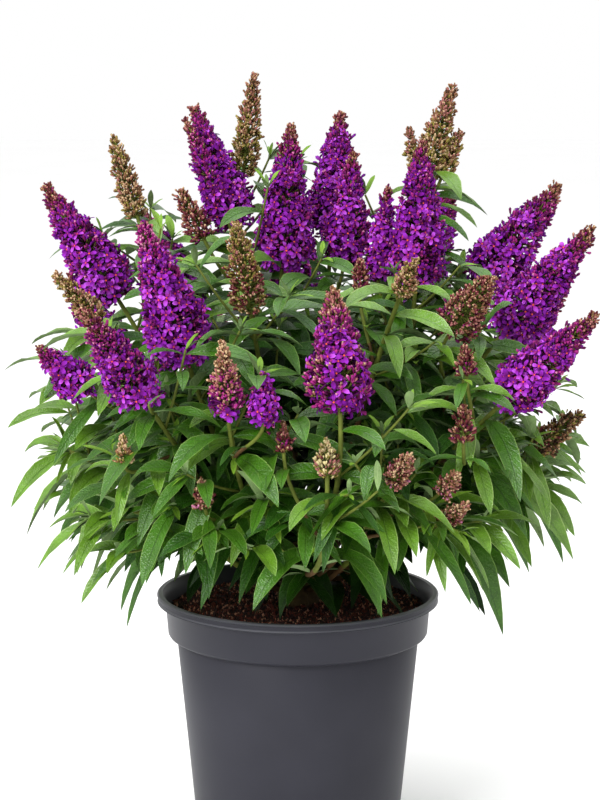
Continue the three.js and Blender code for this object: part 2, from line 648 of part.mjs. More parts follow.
function pot() {
  const lipFoot = POT_HEIGHT - LIP_HEIGHT;
  const collarFoot = lipFoot - COLLAR_HEIGHT;
  const shell = solid(turned([
    [0, 0],
    [POT_BASE_RADIUS - POT_BASE_EDGE, 0],
    [POT_BASE_RADIUS, POT_BASE_EDGE],
    [POT_BODY_RADIUS, collarFoot],
    [COLLAR_LOW_RADIUS - COLLAR_BEVEL, collarFoot + COLLAR_STEP * 0.6],
    [COLLAR_LOW_RADIUS, collarFoot + COLLAR_STEP],
    [COLLAR_RADIUS, lipFoot],
    [LIP_RADIUS, lipFoot],
    [LIP_RADIUS, POT_HEIGHT - LIP_BEVEL],
    [LIP_RADIUS - LIP_BEVEL, POT_HEIGHT],
    [LIP_RADIUS - LIP_WIDTH, POT_HEIGHT],
    [COLLAR_RADIUS - POT_WALL, lipFoot],
    [COLLAR_LOW_RADIUS - POT_WALL, collarFoot + COLLAR_STEP],
    [POT_BODY_RADIUS - POT_WALL, collarFoot + POT_WALL],
    [POT_BASE_RADIUS - POT_WALL, POT_FLOOR],
    [0, POT_FLOOR],
  ], POT_SIDES));
  let drained = shell;
  for (let i = 0; i < DRAINS; i++) {
    const drain = new THREE.CylinderGeometry(DRAIN_RADIUS, DRAIN_RADIUS, POT_FLOOR * 4, 8);
    const { x, y } = polar(360 * (i + 0.5) / DRAINS, DRAIN_REACH, 0);
    drained = drained.subtract(solid(drain.rotateX(Math.PI / 2).translate(x, y, 0)));
  }
  const plastic = new THREE.MeshStandardMaterial({ color: 0x4c4c52, roughness: 0.6, metalness: 0 });
  return mesh('pot', geometryOf(drained), plastic);
}

function soil() {
  const collarFoot = POT_HEIGHT - LIP_HEIGHT - COLLAR_HEIGHT;
  const inside = POT_WALL + GAP * 2;
  const shape = turned([
    [0, POT_FLOOR + GAP],
    [POT_BASE_RADIUS - inside, POT_FLOOR + GAP],
    [POT_BODY_RADIUS - inside, collarFoot + POT_WALL],
    [COLLAR_LOW_RADIUS - inside, collarFoot + COLLAR_STEP],
    [COLLAR_RADIUS - inside - 1, SOIL_LEVEL],
    ...SOIL_RINGS.map((reach) => [reach, SOIL_LEVEL]),
    [SOIL_FLAT, SOIL_LEVEL],
    [0, SOIL_LEVEL],
  ], 24);
  const points = shape.attributes.position;
  for (let i = 0; i < points.count; i++) {
    const [x, y, z] = [points.getX(i), points.getY(i), points.getZ(i)];
    const reach = Math.hypot(x, y);
    if (z > SOIL_LEVEL - 1 && reach > SOIL_FLAT + 1) {
      points.setZ(i, z + SOIL_LUMP * (chance(Math.round(x), Math.round(y), 9) - 0.5));
    }
  }
  const compost = new THREE.MeshStandardMaterial({ color: 0x3a2018, roughness: 1, metalness: 0 });
  return mesh('soil', geometryOf(solid(shape)), compost);
}

const bark = new THREE.MeshStandardMaterial({ color: 0x6f5c40, roughness: 0.9, metalness: 0 });
const leafage = new THREE.MeshStandardMaterial({ color: 0x3f6b34, roughness: 0.6, metalness: 0 });

function foot() {
  return mesh('foot', geometryOf(solid(turned([
    [0, SOIL_LEVEL + GAP],
    [FOOT_FLARE, SOIL_LEVEL + GAP],
    [FOOT_RADIUS, SOIL_LEVEL + RING_FIRST - 3],
    [FOOT_RADIUS, SOIL_LEVEL + FOOT_HEIGHT - 2],
    [FOOT_RADIUS - 2, SOIL_LEVEL + FOOT_HEIGHT],
    [0, SOIL_LEVEL + FOOT_HEIGHT],
  ], FOOT_SIDES))), bark);
}

function bough(stem) {
  const last = stem.first - GAP / stem.length;
  const shape = limb(stem.curve, 0, last, stem.turn, BOUGH_RADIUS, STEM_RADIUS, BOUGH_SIDES, 4);
  return mesh(`bough_${stem.name}`, geometryOf(solid(shape)), bark);
}

function foliage(stem) {
  const steps = Math.round(stem.length * (1 - stem.first) / STEM_FACET);
  const pieces = [limb(stem.curve, stem.first, 1, stem.turn, STEM_RADIUS, STEM_TIP_RADIUS, 3, steps)];
  if (stem.spike.long) pieces.push(spikeSolid(stem.spike, stem.turn));
  growLeaves(pieces, stem);
  for (const side of stem.sides) {
    pieces.push(limb(side.curve, 0, 1, side.turn, TWIG_RADIUS, SIDE_RADIUS, 3, 2));
    pieces.push(spikeSolid(side.spike, side.turn));
  }
  return mesh(`foliage_${stem.name}`, geometryOf(fuse(pieces)), leafage);
}

const group = new THREE.Group();
group.add(pot(), soil(), foot());
group.add(...STEMS.filter((stem) => stem.bough).map(bough));
group.add(...STEMS.map(foliage));

export default group;
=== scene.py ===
import math

import bpy
import numpy as np
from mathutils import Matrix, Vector, noise


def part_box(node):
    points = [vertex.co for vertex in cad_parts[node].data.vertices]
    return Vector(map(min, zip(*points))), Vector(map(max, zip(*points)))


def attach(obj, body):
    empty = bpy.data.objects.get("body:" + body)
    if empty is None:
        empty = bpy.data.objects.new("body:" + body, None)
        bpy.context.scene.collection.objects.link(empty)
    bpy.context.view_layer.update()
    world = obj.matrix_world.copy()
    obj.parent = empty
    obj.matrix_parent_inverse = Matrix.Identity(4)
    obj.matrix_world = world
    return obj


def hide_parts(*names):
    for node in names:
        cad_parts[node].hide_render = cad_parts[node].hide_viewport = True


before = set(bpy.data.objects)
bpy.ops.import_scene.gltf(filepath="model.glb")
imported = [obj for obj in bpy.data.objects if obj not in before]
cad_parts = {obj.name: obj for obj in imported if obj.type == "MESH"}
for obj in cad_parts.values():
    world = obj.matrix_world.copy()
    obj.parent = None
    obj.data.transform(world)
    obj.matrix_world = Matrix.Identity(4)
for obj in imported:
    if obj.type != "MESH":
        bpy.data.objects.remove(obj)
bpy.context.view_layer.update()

# ---------------------------------------------------------------------------------------------
# Studio. A wide pale floor under a bright even sky, with a large soft lamp in front on the left,
# a weaker one on the right and one overhead. None of it is part of the plant.

EYE = (0.0018, -1.9439, 0.6753)
LOOKS_DOWN = 9.108          # degrees
LENS = 109.17
LAMPS = (                   # name, place, size, watts
    ("key lamp", (-1.5, -2.0, 1.9), 1.5, 84),
    ("fill lamp", (1.9, -1.7, 1.2), 1.6, 2),
    ("top lamp", (0.1, 0.5, 2.4), 1.8, 20),
)
LAMPS_AIM = Vector((0, 0, 0.35))


def paint(red, green, blue):
    """A colour as a paint chart gives it, 0 to 255, in the shader's own scale."""
    steps = [part / 255 for part in (red, green, blue)]
    return (*[s / 12.92 if s <= 0.04045 else ((s + 0.055) / 1.055) ** 2.4 for s in steps], 1)


def new_group(name, inputs, outputs):
    """An empty shader group with named sockets: what comes in, and what it gives out."""
    group = bpy.data.node_groups.new(name, "ShaderNodeTree")
    for way, sockets in (("INPUT", inputs), ("OUTPUT", outputs)):
        for socket, kind in sockets.items():
            group.interface.new_socket(name=socket, in_out=way, socket_type=f"NodeSocket{kind}")
    return group, group.nodes.new("NodeGroupInput").outputs, group.nodes.new("NodeGroupOutput").inputs


def feed(tree, socket, term):
    """A socket takes a plain value, or a link from another socket."""
    if isinstance(term, bpy.types.NodeSocket):
        tree.links.new(term, socket)
    else:
        socket.default_value = term


def add_node(tree, kind, terms, **settings):
    """A shader node with its settings, and what each of its sockets takes, by name or number."""
    node = tree.nodes.new(f"ShaderNode{kind}")
    for setting, value in settings.items():
        setattr(node, setting, value)
    for socket, term in terms.items():
        feed(tree, node.inputs[socket], term)
    return node


def calculated(tree, kind, *terms):
    return add_node(tree, "Math", dict(enumerate(terms)), operation=kind).outputs[0]


def stretched(tree, *terms):
    """A value, and the low and high that a Map Range node takes to another low and high."""
    return add_node(tree, "MapRange", dict(enumerate(terms))).outputs["Result"]


def mixed(tree, share, first, second):
    return add_node(tree, "Mix", {0: share, 6: first, 7: second}, data_type="RGBA").outputs[2]


def mottle_group():
    """Uneven colour: one tint a little lighter and darker in soft patches, with the patches' height."""
    tree, start, end = new_group(
        "mottle", {"Vector": "Vector", "Color": "Color", "Scale": "Float", "Amount": "Float"},
        {"Color": "Color", "Height": "Float"},
    )
    cloud = add_node(tree, "TexNoise", {"Vector": start["Vector"], "Scale": start["Scale"], "Detail": 5})
    low = calculated(tree, "SUBTRACT", 1.0, start["Amount"])
    high = calculated(tree, "ADD", 1.0, start["Amount"])
    share = stretched(tree, cloud.outputs["Fac"], 0.3, 0.7, low, high)
    scaled = add_node(tree, "VectorMath", {0: start["Color"]}, operation="SCALE")
    feed(tree, scaled.inputs["Scale"], share)
    feed(tree, end["Color"], scaled.outputs[0])
    feed(tree, end["Height"], cloud.outputs["Fac"])
    return tree


MOTTLE = mottle_group()


def new_material(name, color, roughness, scale, amount, bump=0.0, depth=0.0003, shine=0.5):
    """A mottled material on Object coordinates, with relief where it has a bump."""
    material = bpy.data.materials.new(name)
    material.use_nodes = True
    tree = material.node_tree
    shader = tree.nodes["Principled BSDF"].inputs
    shader["Roughness"].default_value = roughness
    shader["Specular IOR Level"].default_value = shine
    where = add_node(tree, "TexCoord", {}).outputs["Object"]
    terms = {"Vector": where, "Color": color, "Scale": scale, "Amount": amount}
    mottle = add_node(tree, "Group", terms, node_tree=MOTTLE, name="mottle").outputs
    feed(tree, shader["Base Color"], mottle["Color"])
    if bump:
        terms = {"Strength": bump, "Distance": depth, "Height": mottle["Height"]}
        feed(tree, shader["Normal"], add_node(tree, "Bump", terms, name="relief").outputs["Normal"])
    return material


bpy.ops.object.select_all(action="DESELECT")
bpy.ops.mesh.primitive_plane_add(size=16, location=(0, 3, 0))
floor = bpy.context.object
floor.name = "studio_floor"
floor.data.materials.append(new_material("pale floor", paint(254, 254, 254), 0.8, 3, 0.008))

world = bpy.data.worlds.new("sky")
world.use_nodes = True
world.node_tree.nodes["Background"].inputs["Color"].default_value = (1, 1, 1, 1)
bpy.context.scene.world = world

for name, place, size, watts in LAMPS:
    lamp = bpy.data.objects.new(name, bpy.data.lights.new(name, "AREA"))
    lamp.data.size = size
    lamp.data.energy = watts
    lamp.location = place
    lamp.rotation_euler = (LAMPS_AIM - Vector(place)).to_track_quat("-Z", "Y").to_euler()
    bpy.context.scene.collection.objects.link(lamp)

camera = bpy.data.objects.new("camera", bpy.data.cameras.new("camera"))
bpy.context.scene.collection.objects.link(camera)
camera.data.lens = LENS
camera.data.clip_end = 60
camera.location = EYE
camera.rotation_euler = (math.radians(90 - LOOKS_DOWN), 0, 0)
bpy.context.scene.camera = camera
bpy.context.scene.view_settings.view_transform = "Standard"

# ---------------------------------------------------------------------------------------------
# Pot. A round nursery pot, injection moulded in one piece of anthracite plastic with a dull skin:
# a tapering body, a collar that steps out near the top, a rolled lip and holes in the floor.

MM = 0.001
POT_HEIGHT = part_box("pot")[1].z / MM
LIP_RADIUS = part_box("pot")[1].x / MM
LIP_HEIGHT = 7
LIP_WIDTH = 6
LIP_FOOT = POT_HEIGHT - LIP_HEIGHT
COLLAR_RADIUS = 108.4
COLLAR_LOW_RADIUS = 106.6
COLLAR_FOOT = LIP_FOOT - 31
BODY_RADIUS = 99.2
BASE_RADIUS = 83
POT_WALL = 2
POT_FLOOR = 3
POT_SIDES = 144
DRAINS = 6
DRAIN_RADIUS = 6
DRAIN_REACH = 60
POT_PROFILE = (             # radius and height, up the outside, over the lip and down the inside
    (BASE_RADIUS - 0.7, 0),
    (BASE_RADIUS, 0.9),
    (BODY_RADIUS - 0.1, COLLAR_FOOT - 1.8),
    (BODY_RADIUS - 0.9, COLLAR_FOOT - 0.6),
    (BODY_RADIUS - 0.9, COLLAR_FOOT + 0.9),
    (BODY_RADIUS + 1.4, COLLAR_FOOT + 1.2),
    (COLLAR_LOW_RADIUS - 0.9, COLLAR_FOOT + 3.8),
    (COLLAR_LOW_RADIUS, COLLAR_FOOT + 5.4),
    (COLLAR_RADIUS, LIP_FOOT - 3.0),
    (COLLAR_RADIUS + 1.2, LIP_FOOT - 1.2),
    (LIP_RADIUS - 1.0, LIP_FOOT - 0.2),
    (LIP_RADIUS - 0.2, LIP_FOOT + 0.3),
    (LIP_RADIUS - 0.3, LIP_FOOT + 0.9),
    (LIP_RADIUS - 1.5, LIP_FOOT + 2.0),
    (LIP_RADIUS - 1.5, LIP_FOOT + 4.7),
    (LIP_RADIUS, LIP_FOOT + 5.3),
    (LIP_RADIUS, POT_HEIGHT - 1.2),
    (LIP_RADIUS - 1.2, POT_HEIGHT),
    (LIP_RADIUS - LIP_WIDTH + 1.4, POT_HEIGHT),
    (LIP_RADIUS - LIP_WIDTH, POT_HEIGHT - 1.4),
    (COLLAR_RADIUS - POT_WALL, LIP_FOOT),
    (COLLAR_LOW_RADIUS - POT_WALL, COLLAR_FOOT + 9.5),
    (BODY_RADIUS - POT_WALL, COLLAR_FOOT + POT_WALL),
    (BASE_RADIUS - POT_WALL, POT_FLOOR),
)


def turned_body(name, sides, profile, insets=(), poke=False):
    """A disc drawn out ring by ring along radii and heights. Insets ring its last face."""
    radius, height = profile[0]
    bpy.ops.object.select_all(action="DESELECT")
    bpy.ops.mesh.primitive_circle_add(
        vertices=sides, radius=radius * MM, fill_type="NGON", location=(0, 0, height * MM)
    )
    body = bpy.context.object
    body.name = name
    bpy.ops.object.mode_set(mode="EDIT")
    bpy.ops.mesh.select_all(action="SELECT")
    for (radius, height), (next_radius, next_height) in zip(profile, profile[1:]):
        rise = (0, 0, (next_height - height) * MM)
        bpy.ops.mesh.extrude_region_move(TRANSFORM_OT_translate={"value": rise})
        grow = next_radius / radius
        bpy.ops.transform.resize(value=(grow, grow, 1))
    for inset in insets:
        bpy.ops.mesh.inset(thickness=inset * MM)
    if poke:
        bpy.ops.mesh.poke()
    bpy.ops.mesh.select_all(action="SELECT")
    bpy.ops.mesh.normals_make_consistent(inside=False)
    bpy.ops.object.mode_set(mode="OBJECT")
    bpy.ops.object.transform_apply(location=True, rotation=True, scale=True)
    return body


def settle(piece, slot, *nodes):
    """A finished piece rides on the plant's one body and stands for its nodes. Its slot is not used."""
    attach(piece, "root")
    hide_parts(*nodes)


pot = turned_body("pot_shell", POT_SIDES, POT_PROFILE)
bpy.ops.object.select_all(action="DESELECT")
for number in range(DRAINS):
    angle = 2 * math.pi * (number + 0.5) / DRAINS
    place = (DRAIN_REACH * math.cos(angle) * MM, DRAIN_REACH * math.sin(angle) * MM, 0)
    bpy.ops.mesh.primitive_cylinder_add(
        vertices=24, radius=DRAIN_RADIUS * MM, depth=4 * POT_FLOOR * MM, location=place
    )
    if number:
        first_drain.select_set(True)
        bpy.context.view_layer.objects.active = first_drain
        bpy.ops.object.join()
    first_drain = bpy.context.object
bpy.ops.object.select_all(action="DESELECT")
pot.select_set(True)
bpy.context.view_layer.objects.active = pot
cut = pot.modifiers.new("drains", "BOOLEAN")
cut.operation = "DIFFERENCE"
cut.object = first_drain
bpy.ops.object.modifier_apply(modifier=cut.name)
bpy.data.objects.remove(first_drain)
bpy.ops.object.shade_smooth_by_angle(angle=math.radians(40))
# The lip's two beads are a lighter colour than the body, on a shinier surface: painted highlight lines
# along the lip.
for name, color, shine in (("dull anthracite plastic", paint(46, 46, 53), 0.14),
                           ("burnished lip edge", paint(80, 80, 88), 0.5)):
    pot.data.materials.append(new_material(name, color, 0.42, 22, 0.07, 0.1, 0.0005, shine))
for face in pot.data.polygons:
    radius, height = math.hypot(face.center.x, face.center.y) / MM, face.center.z / MM
    on_bead = LIP_FOOT + 0.6 < height < LIP_FOOT + 1.8 or height > POT_HEIGHT - 0.8
    face.material_index = int(on_bead and radius > LIP_RADIUS - 3.4)
settle(pot, "pot", "pot")

# ---------------------------------------------------------------------------------------------
# Compost. Dark red brown bark and peat that fills the pot to just under its lip, loose and
# crumbly on top, with a few pale chips. The crumbs lie on the filling.

SEED = 20611
SOIL_LEVEL = 192
SOIL_RADIUS = COLLAR_RADIUS - POT_WALL - 1.6
SOIL_RINGS = 14
SOIL_HEAP = 5               # how much the compost heaps up round the foot
CRUMBS = 10500
CRUMB_TINTS = (("dark crumb", paint(38, 15, 11), 0.54), ("red brown crumb", paint(94, 38, 26), 0.34),
               ("bark chip", paint(184, 130, 106), 0.12))
CRUMB_POINTS = np.array([(1, 0, 0), (0, 1, 0), (-1, 0, 0), (0, -1, 0), (0, 0, 1), (0, 0, -1)])
CRUMB_FACES = [(0, 1, 4), (1, 2, 4), (2, 3, 4), (3, 0, 4), (1, 0, 5), (2, 1, 5), (3, 2, 5), (0, 3, 5)]
MOST_TRIANGLES = 190_000

random = np.random.default_rng(SEED)


def soil_height(x, y):
    """Height of the compost over its nominal level, in millimetres."""
    heap = SOIL_HEAP * math.exp(-((math.hypot(x, y) / 45) ** 2))
    return heap + 1.6 * noise.noise(Vector((x, y, 3)) / 14) + 1.0 * noise.noise(Vector((x, y, 9)) / 4)


def join_copies(name, points, faces, tints, materials, slot, nodes, uv=None, sharp=(), smooth=True):
    """Many shapes with the same faces, joined into as few meshes as the triangles allow.

    points is (shapes, corners, 3) in millimetres, faces the corner numbers of one shape, tints
    (shapes, faces) the number of each face's material, uv a pair for each corner of a shape, and
    sharp the corners of a shape whose joining edges are creases.
    """
    sizes = np.array([len(face) for face in faces])
    ends_of_faces = np.concatenate(faces)
    most = MOST_TRIANGLES // int(np.sum(sizes - 2))
    for part, first in enumerate(range(0, len(points), most)):
        some = points[first:first + most]
        copies, corners = some.shape[:2]
        loops = (ends_of_faces[None, :] + corners * np.arange(copies)[:, None]).ravel()
        starts = np.cumsum(np.tile(sizes, copies)) - np.tile(sizes, copies)
        shades = np.broadcast_to(tints[first:first + most], (copies, len(faces)))
        mesh = bpy.data.meshes.new(name)
        mesh.vertices.add(copies * corners)
        mesh.vertices.foreach_set("co", (some * MM).astype(np.float32).ravel())
        mesh.loops.add(len(loops))
        mesh.loops.foreach_set("vertex_index", loops.astype(np.int32))
        mesh.polygons.add(copies * len(faces))
        mesh.polygons.foreach_set("loop_start", starts.astype(np.int32))
        mesh.polygons.foreach_set("material_index", shades.astype(np.int32).ravel())
        mesh.polygons.foreach_set("use_smooth", np.full(copies * len(faces), smooth))
        mesh.update(calc_edges=True)
        if uv is not None:
            blade = np.tile(np.array(uv, np.float32)[ends_of_faces].ravel(), copies)
            mesh.uv_layers.new(name="blade").data.foreach_set("uv", blade)
        if len(sharp):
            ends = np.empty(len(mesh.edges) * 2, np.int32)
            mesh.edges.foreach_get("vertices", ends)
            creased = np.isin(ends % corners, sharp).reshape(-1, 2).all(axis=1)
            mesh.edges.foreach_set("use_edge_sharp", creased)
        mesh.validate()
        for material in materials:
            mesh.materials.append(material)
        piece = bpy.data.objects.new(f"{name}_{part + 1}", mesh)
        bpy.context.scene.collection.objects.link(piece)
        settle(piece, slot, *nodes)


def unit(vectors):
    return vectors / np.maximum(np.linalg.norm(vectors, axis=-1, keepdims=True), 1e-9)


def frames_facing(facing, spin):
    """Two directions square to each facing direction, turned round it by spin in radians."""
    helper = np.where(np.abs(facing[..., 2:3]) < 0.9, (0.0, 0.0, 1.0), (1.0, 0.0, 0.0))
    side = unit(np.cross(helper, facing))
    over = np.cross(facing, side)
    cos, sin = np.cos(spin)[..., None], np.sin(spin)[..., None]
    return side * cos + over * sin, over * cos - side * sin


def set_out(shapes, places, facing, spin):
    """Shapes at their places, each turned so that its own upward direction faces its way."""
    side, over = frames_facing(facing, spin)
    return (places[:, None] + shapes[..., 0:1] * side[:, None] + shapes[..., 1:2] * over[:, None]
            + shapes[..., 2:3] * facing[:, None])


soil = turned_body("compost", 96, (
    (BASE_RADIUS - 3, POT_FLOOR + 0.3),
    (BODY_RADIUS - 3, COLLAR_FOOT + POT_WALL),
    (COLLAR_LOW_RADIUS - 3, COLLAR_FOOT + 10),
    (SOIL_RADIUS, SOIL_LEVEL - 0.6),
), [SOIL_RADIUS / (SOIL_RINGS + 1)] * SOIL_RINGS, poke=True)
for vertex in soil.data.vertices:
    if vertex.co.z > (SOIL_LEVEL - 1) * MM:
        vertex.co.z += soil_height(vertex.co.x / MM, vertex.co.y / MM) * MM
bpy.ops.object.shade_smooth_by_angle(angle=math.radians(40))
soil.data.materials.append(new_material("compost", CRUMB_TINTS[0][1], 0.95, 260, 0.5, 0.9, 0.002))
settle(soil, "soil", "soil")

reach = (SOIL_RADIUS - 2) * np.sqrt(random.random(CRUMBS))
angle = 2 * np.pi * random.random(CRUMBS)
level = np.full(CRUMBS, float(SOIL_LEVEL))
crumb_places = np.stack([reach * np.cos(angle), reach * np.sin(angle), level], axis=1)
crumb_places[:, 2] += [soil_height(x, y) for x, y in crumb_places[:, :2]]
facing = unit(random.normal(size=(CRUMBS, 3)))
crumb_sizes = 0.35 + 0.9 * random.random((CRUMBS, 1)) ** 3 + 0.25 * random.random((CRUMBS, 3))
crumb_sizes[:, 1] *= 1 + 1.6 * random.random(CRUMBS)
crumbs = CRUMB_POINTS[None] * crumb_sizes[:, None] * (0.75 + 0.5 * random.random((CRUMBS, 6, 1)))
crumbs = set_out(crumbs, crumb_places, facing, np.zeros(CRUMBS))
tints = random.choice(3, CRUMBS, p=[share for _, _, share in CRUMB_TINTS])[:, None]
crumb_materials = [new_material(name, color, 0.9, 400, 0.3) for name, color, _ in CRUMB_TINTS]
join_copies("compost_crumbs", crumbs, CRUMB_FACES, tints, crumb_materials, "soil", ["soil"], smooth=False)

# ---------------------------------------------------------------------------------------------
# Growth. One short woody foot carries 37 stems, seated in rings round it and on its top, which
# fan out and arch over. The same seeded rule as in the solids says where each one runs.

GAP = 0.3
FOOT_HEIGHT = 62
FOOT_RADIUS = 14.5
FOOT_FLARE = 19
RINGS = 5
RING_FIRST = 17
RING_STEP = 9
RING_ROOM = 31
TOP_REACH = 8.5
START_REACH = 24
ARM = 0.4                   # of a shoot's span, how long its curve holds its direction
BOUGH_SHARE = 0.36
CURVE_STEPS = np.linspace(0, 1, 201)

# Each stem: the way it turns from +X, how far out and how high its flower spike starts, the
# spike's lean, length and width, whether it has a bough, the share of the spike that is open,
# and the colours of its buds.
STEMS = (
    ("left_high", -178, 145, 447, 32, 108, 50, 1, 0.66, "plum"),
    ("left", -159, 166, 435, 42, 54, 22, 1, 0, "brown"),
    ("left_front", -123, 209, 393, 44, 102, 44, 1, 0.5, "plum"),
    ("front_left", -125, 147, 415, 26, 120, 54, 1, 0.72, "magenta"),
    ("back_left_high", 149, 156, 505, 20, 72, 24, 1, 0, "brown"),
    ("top_left", 154, 56, 503, 22, 106, 46, 1, 0.74, "plum"),
    ("top", 123, 83, 541, -12, 86, 26, 1, 0, "olive"),
    ("middle_left", -111, 102, 449, 22, 76, 30, 1, 0, "russet"),
    ("centre", 130, 20, 470, -6, 118, 50, 1, 0.66, "plum"),
    ("top_right", 33, 128, 544, 20, 76, 29, 1, 0, "olive"),
    ("right_high", -15, 97, 461, 2, 114, 50, 1, 0.76, "plum"),
    ("middle_right", -57, 143, 463, 32, 36, 21, 1, 0, "brown"),
    ("right", 9, 152, 454, 38, 104, 54, 1, 0.6, "plum"),
    ("right_front", -22, 174, 428, 40, 110, 50, 1, 0.66, "plum"),
    ("right_low", -38, 201, 384, 48, 106, 46, 1, 0.62, "plum"),
    ("front", -81, 198, 388, -20, 92, 54, 1, 0.6, "rose"),
    ("front_low_left", -105, 197, 384, 14, 58, 30, 0, 0.24, "mauve"),
    ("front_low", -84, 207, 341, -10, 26, 21, 0, 0, "cream"),
    ("front_low_right", -70, 206, 333, 50, 40, 22, 0, 0, "pink"),
    ("right_side", -23, 202, 339, 52, 48, 25, 0, 0, "dark"),
    ("back_high", 72, 92, 492, 14, 104, 50, 1, 0.7, "plum"),
    ("back_left", 128, 152, 428, 44, 104, 54, 1, 0.66, "plum"),
    ("back", 92, 160, 428, 36, 116, 56, 1, 0.7, "plum"),
    ("back_right", 52, 158, 436, 34, 110, 56, 1, 0.62, "plum"),
    ("back_low_left", 145, 190, 382, 36, 88, 46, 0, 0.6, "plum"),
    ("back_low", 108, 204, 366, 44, 70, 36, 0, 0.4, "rose"),
    ("back_low_right", 70, 206, 372, 42, 98, 46, 0, 0.66, "plum"),
    ("right_back_low", 30, 202, 378, 46, 92, 46, 0, 0.55, "plum"),
)
LEAFY_STEMS = (             # these end in leaves: only the way, reach, height and lean
    ("leafy_left", -165, 188, 330, 66), ("leafy_left_low", -134, 184, 300, 72),
    ("leafy_front_left", -98, 180, 314, 70), ("leafy_front_right", -57, 184, 306, 72),
    ("leafy_right", -8, 186, 300, 74), ("leafy_right_back", 44, 186, 300, 72),
    ("leafy_back", 90, 186, 312, 70), ("leafy_left_back", 136, 186, 300, 72),
    ("leafy_left_side", 172, 188, 312, 70),
)

# Side spikes: the stem each forks from and how far up it, then the same sizes.
SIDES = (
    ("left", 0.5, -150, 190, 388, 48, 52, 36, 0.7, "plum"),
    ("left_front", 0.72, -127, 214, 344, 6, 20, 17, 0, "tan"),
    ("top_left", 0.7, -172, 76, 496, 26, 44, 25, 0, "maroon"),
    ("top_left", 0.84, 166, 63, 521, 24, 76, 28, 0.45, "plum"),
    ("centre", 0.6, 34, 45, 472, 6, 92, 44, 0.7, "plum"),
    ("top_right", 0.86, 31, 138, 537, 26, 46, 20, 0, "olive"),
    ("top_right", 0.9, 35, 121, 547, -16, 34, 17, 0, "olive"),
    ("right_high", 0.7, -2, 65, 464, 6, 74, 30, 0.7, "plum"),
    ("middle_right", 0.66, -55, 84, 462, 2, 24, 19, 0, "maroon"),
    ("right_front", 0.62, -46, 167, 435, 42, 60, 36, 0, "maroon"),
    ("right_low", 0.66, -55, 214, 361, -2, 28, 21, 0, "maroon"),
    ("right_low", 0.76, -49, 193, 406, -6, 23, 20, 0, "maroon"),
    ("front_low_left", 0.82, -97, 200, 381, 4, 34, 28, 0.85, "plum"),
    ("front_low_left", 0.55, -110, 200, 314, 16, 22, 18, 0, "pink"),
    ("front_low", 0.7, -93, 192, 356, -8, 20, 17, 0, "maroon"),
    ("front_low_right", 0.66, -59, 208, 324, 50, 26, 19, 0, "pink"),
    ("front_low_right", 0.5, -57, 204, 300, 58, 30, 19, 0, "pink"),
    ("back", 0.62, 104, 168, 404, 30, 34, 22, 0, "maroon"),
    ("back_right", 0.62, 38, 166, 410, 34, 36, 22, 0, "brown"),
)


def chance(*keys):
    """The same keys always give the same number from 0 to 1, and the one that the solids have."""
    mixed_bits = SEED
    for key in keys:
        mixed_bits = (mixed_bits ^ (int(key) + 101)) * 2654435761 & 0xFFFFFFFF
        mixed_bits ^= mixed_bits >> 15
        mixed_bits = mixed_bits * 2246822519 & 0xFFFFFFFF
        mixed_bits ^= mixed_bits >> 13
    return mixed_bits / 4294967296


def between(first, last, share):
    return first + (last - first) * share


def polar(turn, reach, height):
    return np.array([reach * math.cos(math.radians(turn)), reach * math.sin(math.radians(turn)), height])


def leaning(turn, lean):
    return polar(turn, math.sin(math.radians(lean)), math.cos(math.radians(lean)))


def bezier(controls, steps):
    """Points of the curve through the first and last control point, at steps from 0 to 1."""
    steps = np.asarray(steps, float)[:, None]
    level = [np.broadcast_to(point, (len(steps), 3)) for point in controls]
    while len(level) > 1:
        level = [first + (last - first) * steps for first, last in zip(level, level[1:])]
    return level[0]


def new_curve(*controls):
    points = bezier(controls, CURVE_STEPS)
    lengths = np.concatenate([[0], np.cumsum(np.linalg.norm(np.diff(points, axis=0), axis=1))])
    return {"controls": controls, "lengths": lengths, "length": lengths[-1]}


def follow(curve, shares):
    """Places and directions at shares of a curve's length."""
    steps = np.interp(np.asarray(shares, float) * curve["length"], curve["lengths"], CURVE_STEPS)
    back, ahead = np.maximum(steps - 1e-4, 0), np.minimum(steps + 1e-4, 1)
    way = unit(bezier(curve["controls"], ahead) - bezier(curve["controls"], back))
    return bezier(curve["controls"], steps), way


def at_share(curve, share):
    """The one place and direction at a share of a curve's length."""
    return (part[0] for part in follow(curve, [share]))


def foot_radius(height):
    """The foot's radius at a height over the compost: it flares below the first ring of stems."""
    return between(FOOT_FLARE, FOOT_RADIUS, min(1, height / RING_FIRST))


def new_shoot(turn, reach, height, lean, long, wide, open_share, buds):
    """What a stem and a side twig share: where the spike starts, where it points and its sizes."""
    return {
        "turn": turn, "base": polar(turn, reach, height), "way": leaning(turn, lean),
        "long": long, "wide": wide, "open": open_share, "buds": buds, "sides": [],
    }


def seat_stems():
    """The flattest stems leave the foot lowest, each in the first ring that has room for it."""
    rings = [[] for _ in range(RINGS)]
    on_top = []
    for stem in sorted(stems, key=lambda s: s["flatness"], reverse=True):
        turn = stem["turn"]
        free = [
            number for number, turns in enumerate(rings)
            if all(abs((turn - other + 540) % 360 - 180) >= RING_ROOM for other in turns)
        ]
        if free:
            height = RING_FIRST + free[0] * RING_STEP
            stem["start"] = polar(turn, foot_radius(height) + GAP, SOIL_LEVEL + height)
            stem["leaving"] = polar(turn, START_REACH, 0)
            rings[free[0]].append(turn)
        else:
            on_top.append(stem)
    on_top.sort(key=lambda s: s["turn"])
    for seat, stem in enumerate(on_top):
        turn = on_top[0]["turn"] + 360 * seat / len(on_top)
        stem["start"] = polar(turn, TOP_REACH, SOIL_LEVEL + FOOT_HEIGHT + GAP)
        stem["leaving"] = np.array([0, 0, START_REACH])


def span_of(shoot, start):
    """How far a shoot reaches, in a straight line from its seat to its spike."""
    return np.linalg.norm(shoot["base"] - start)


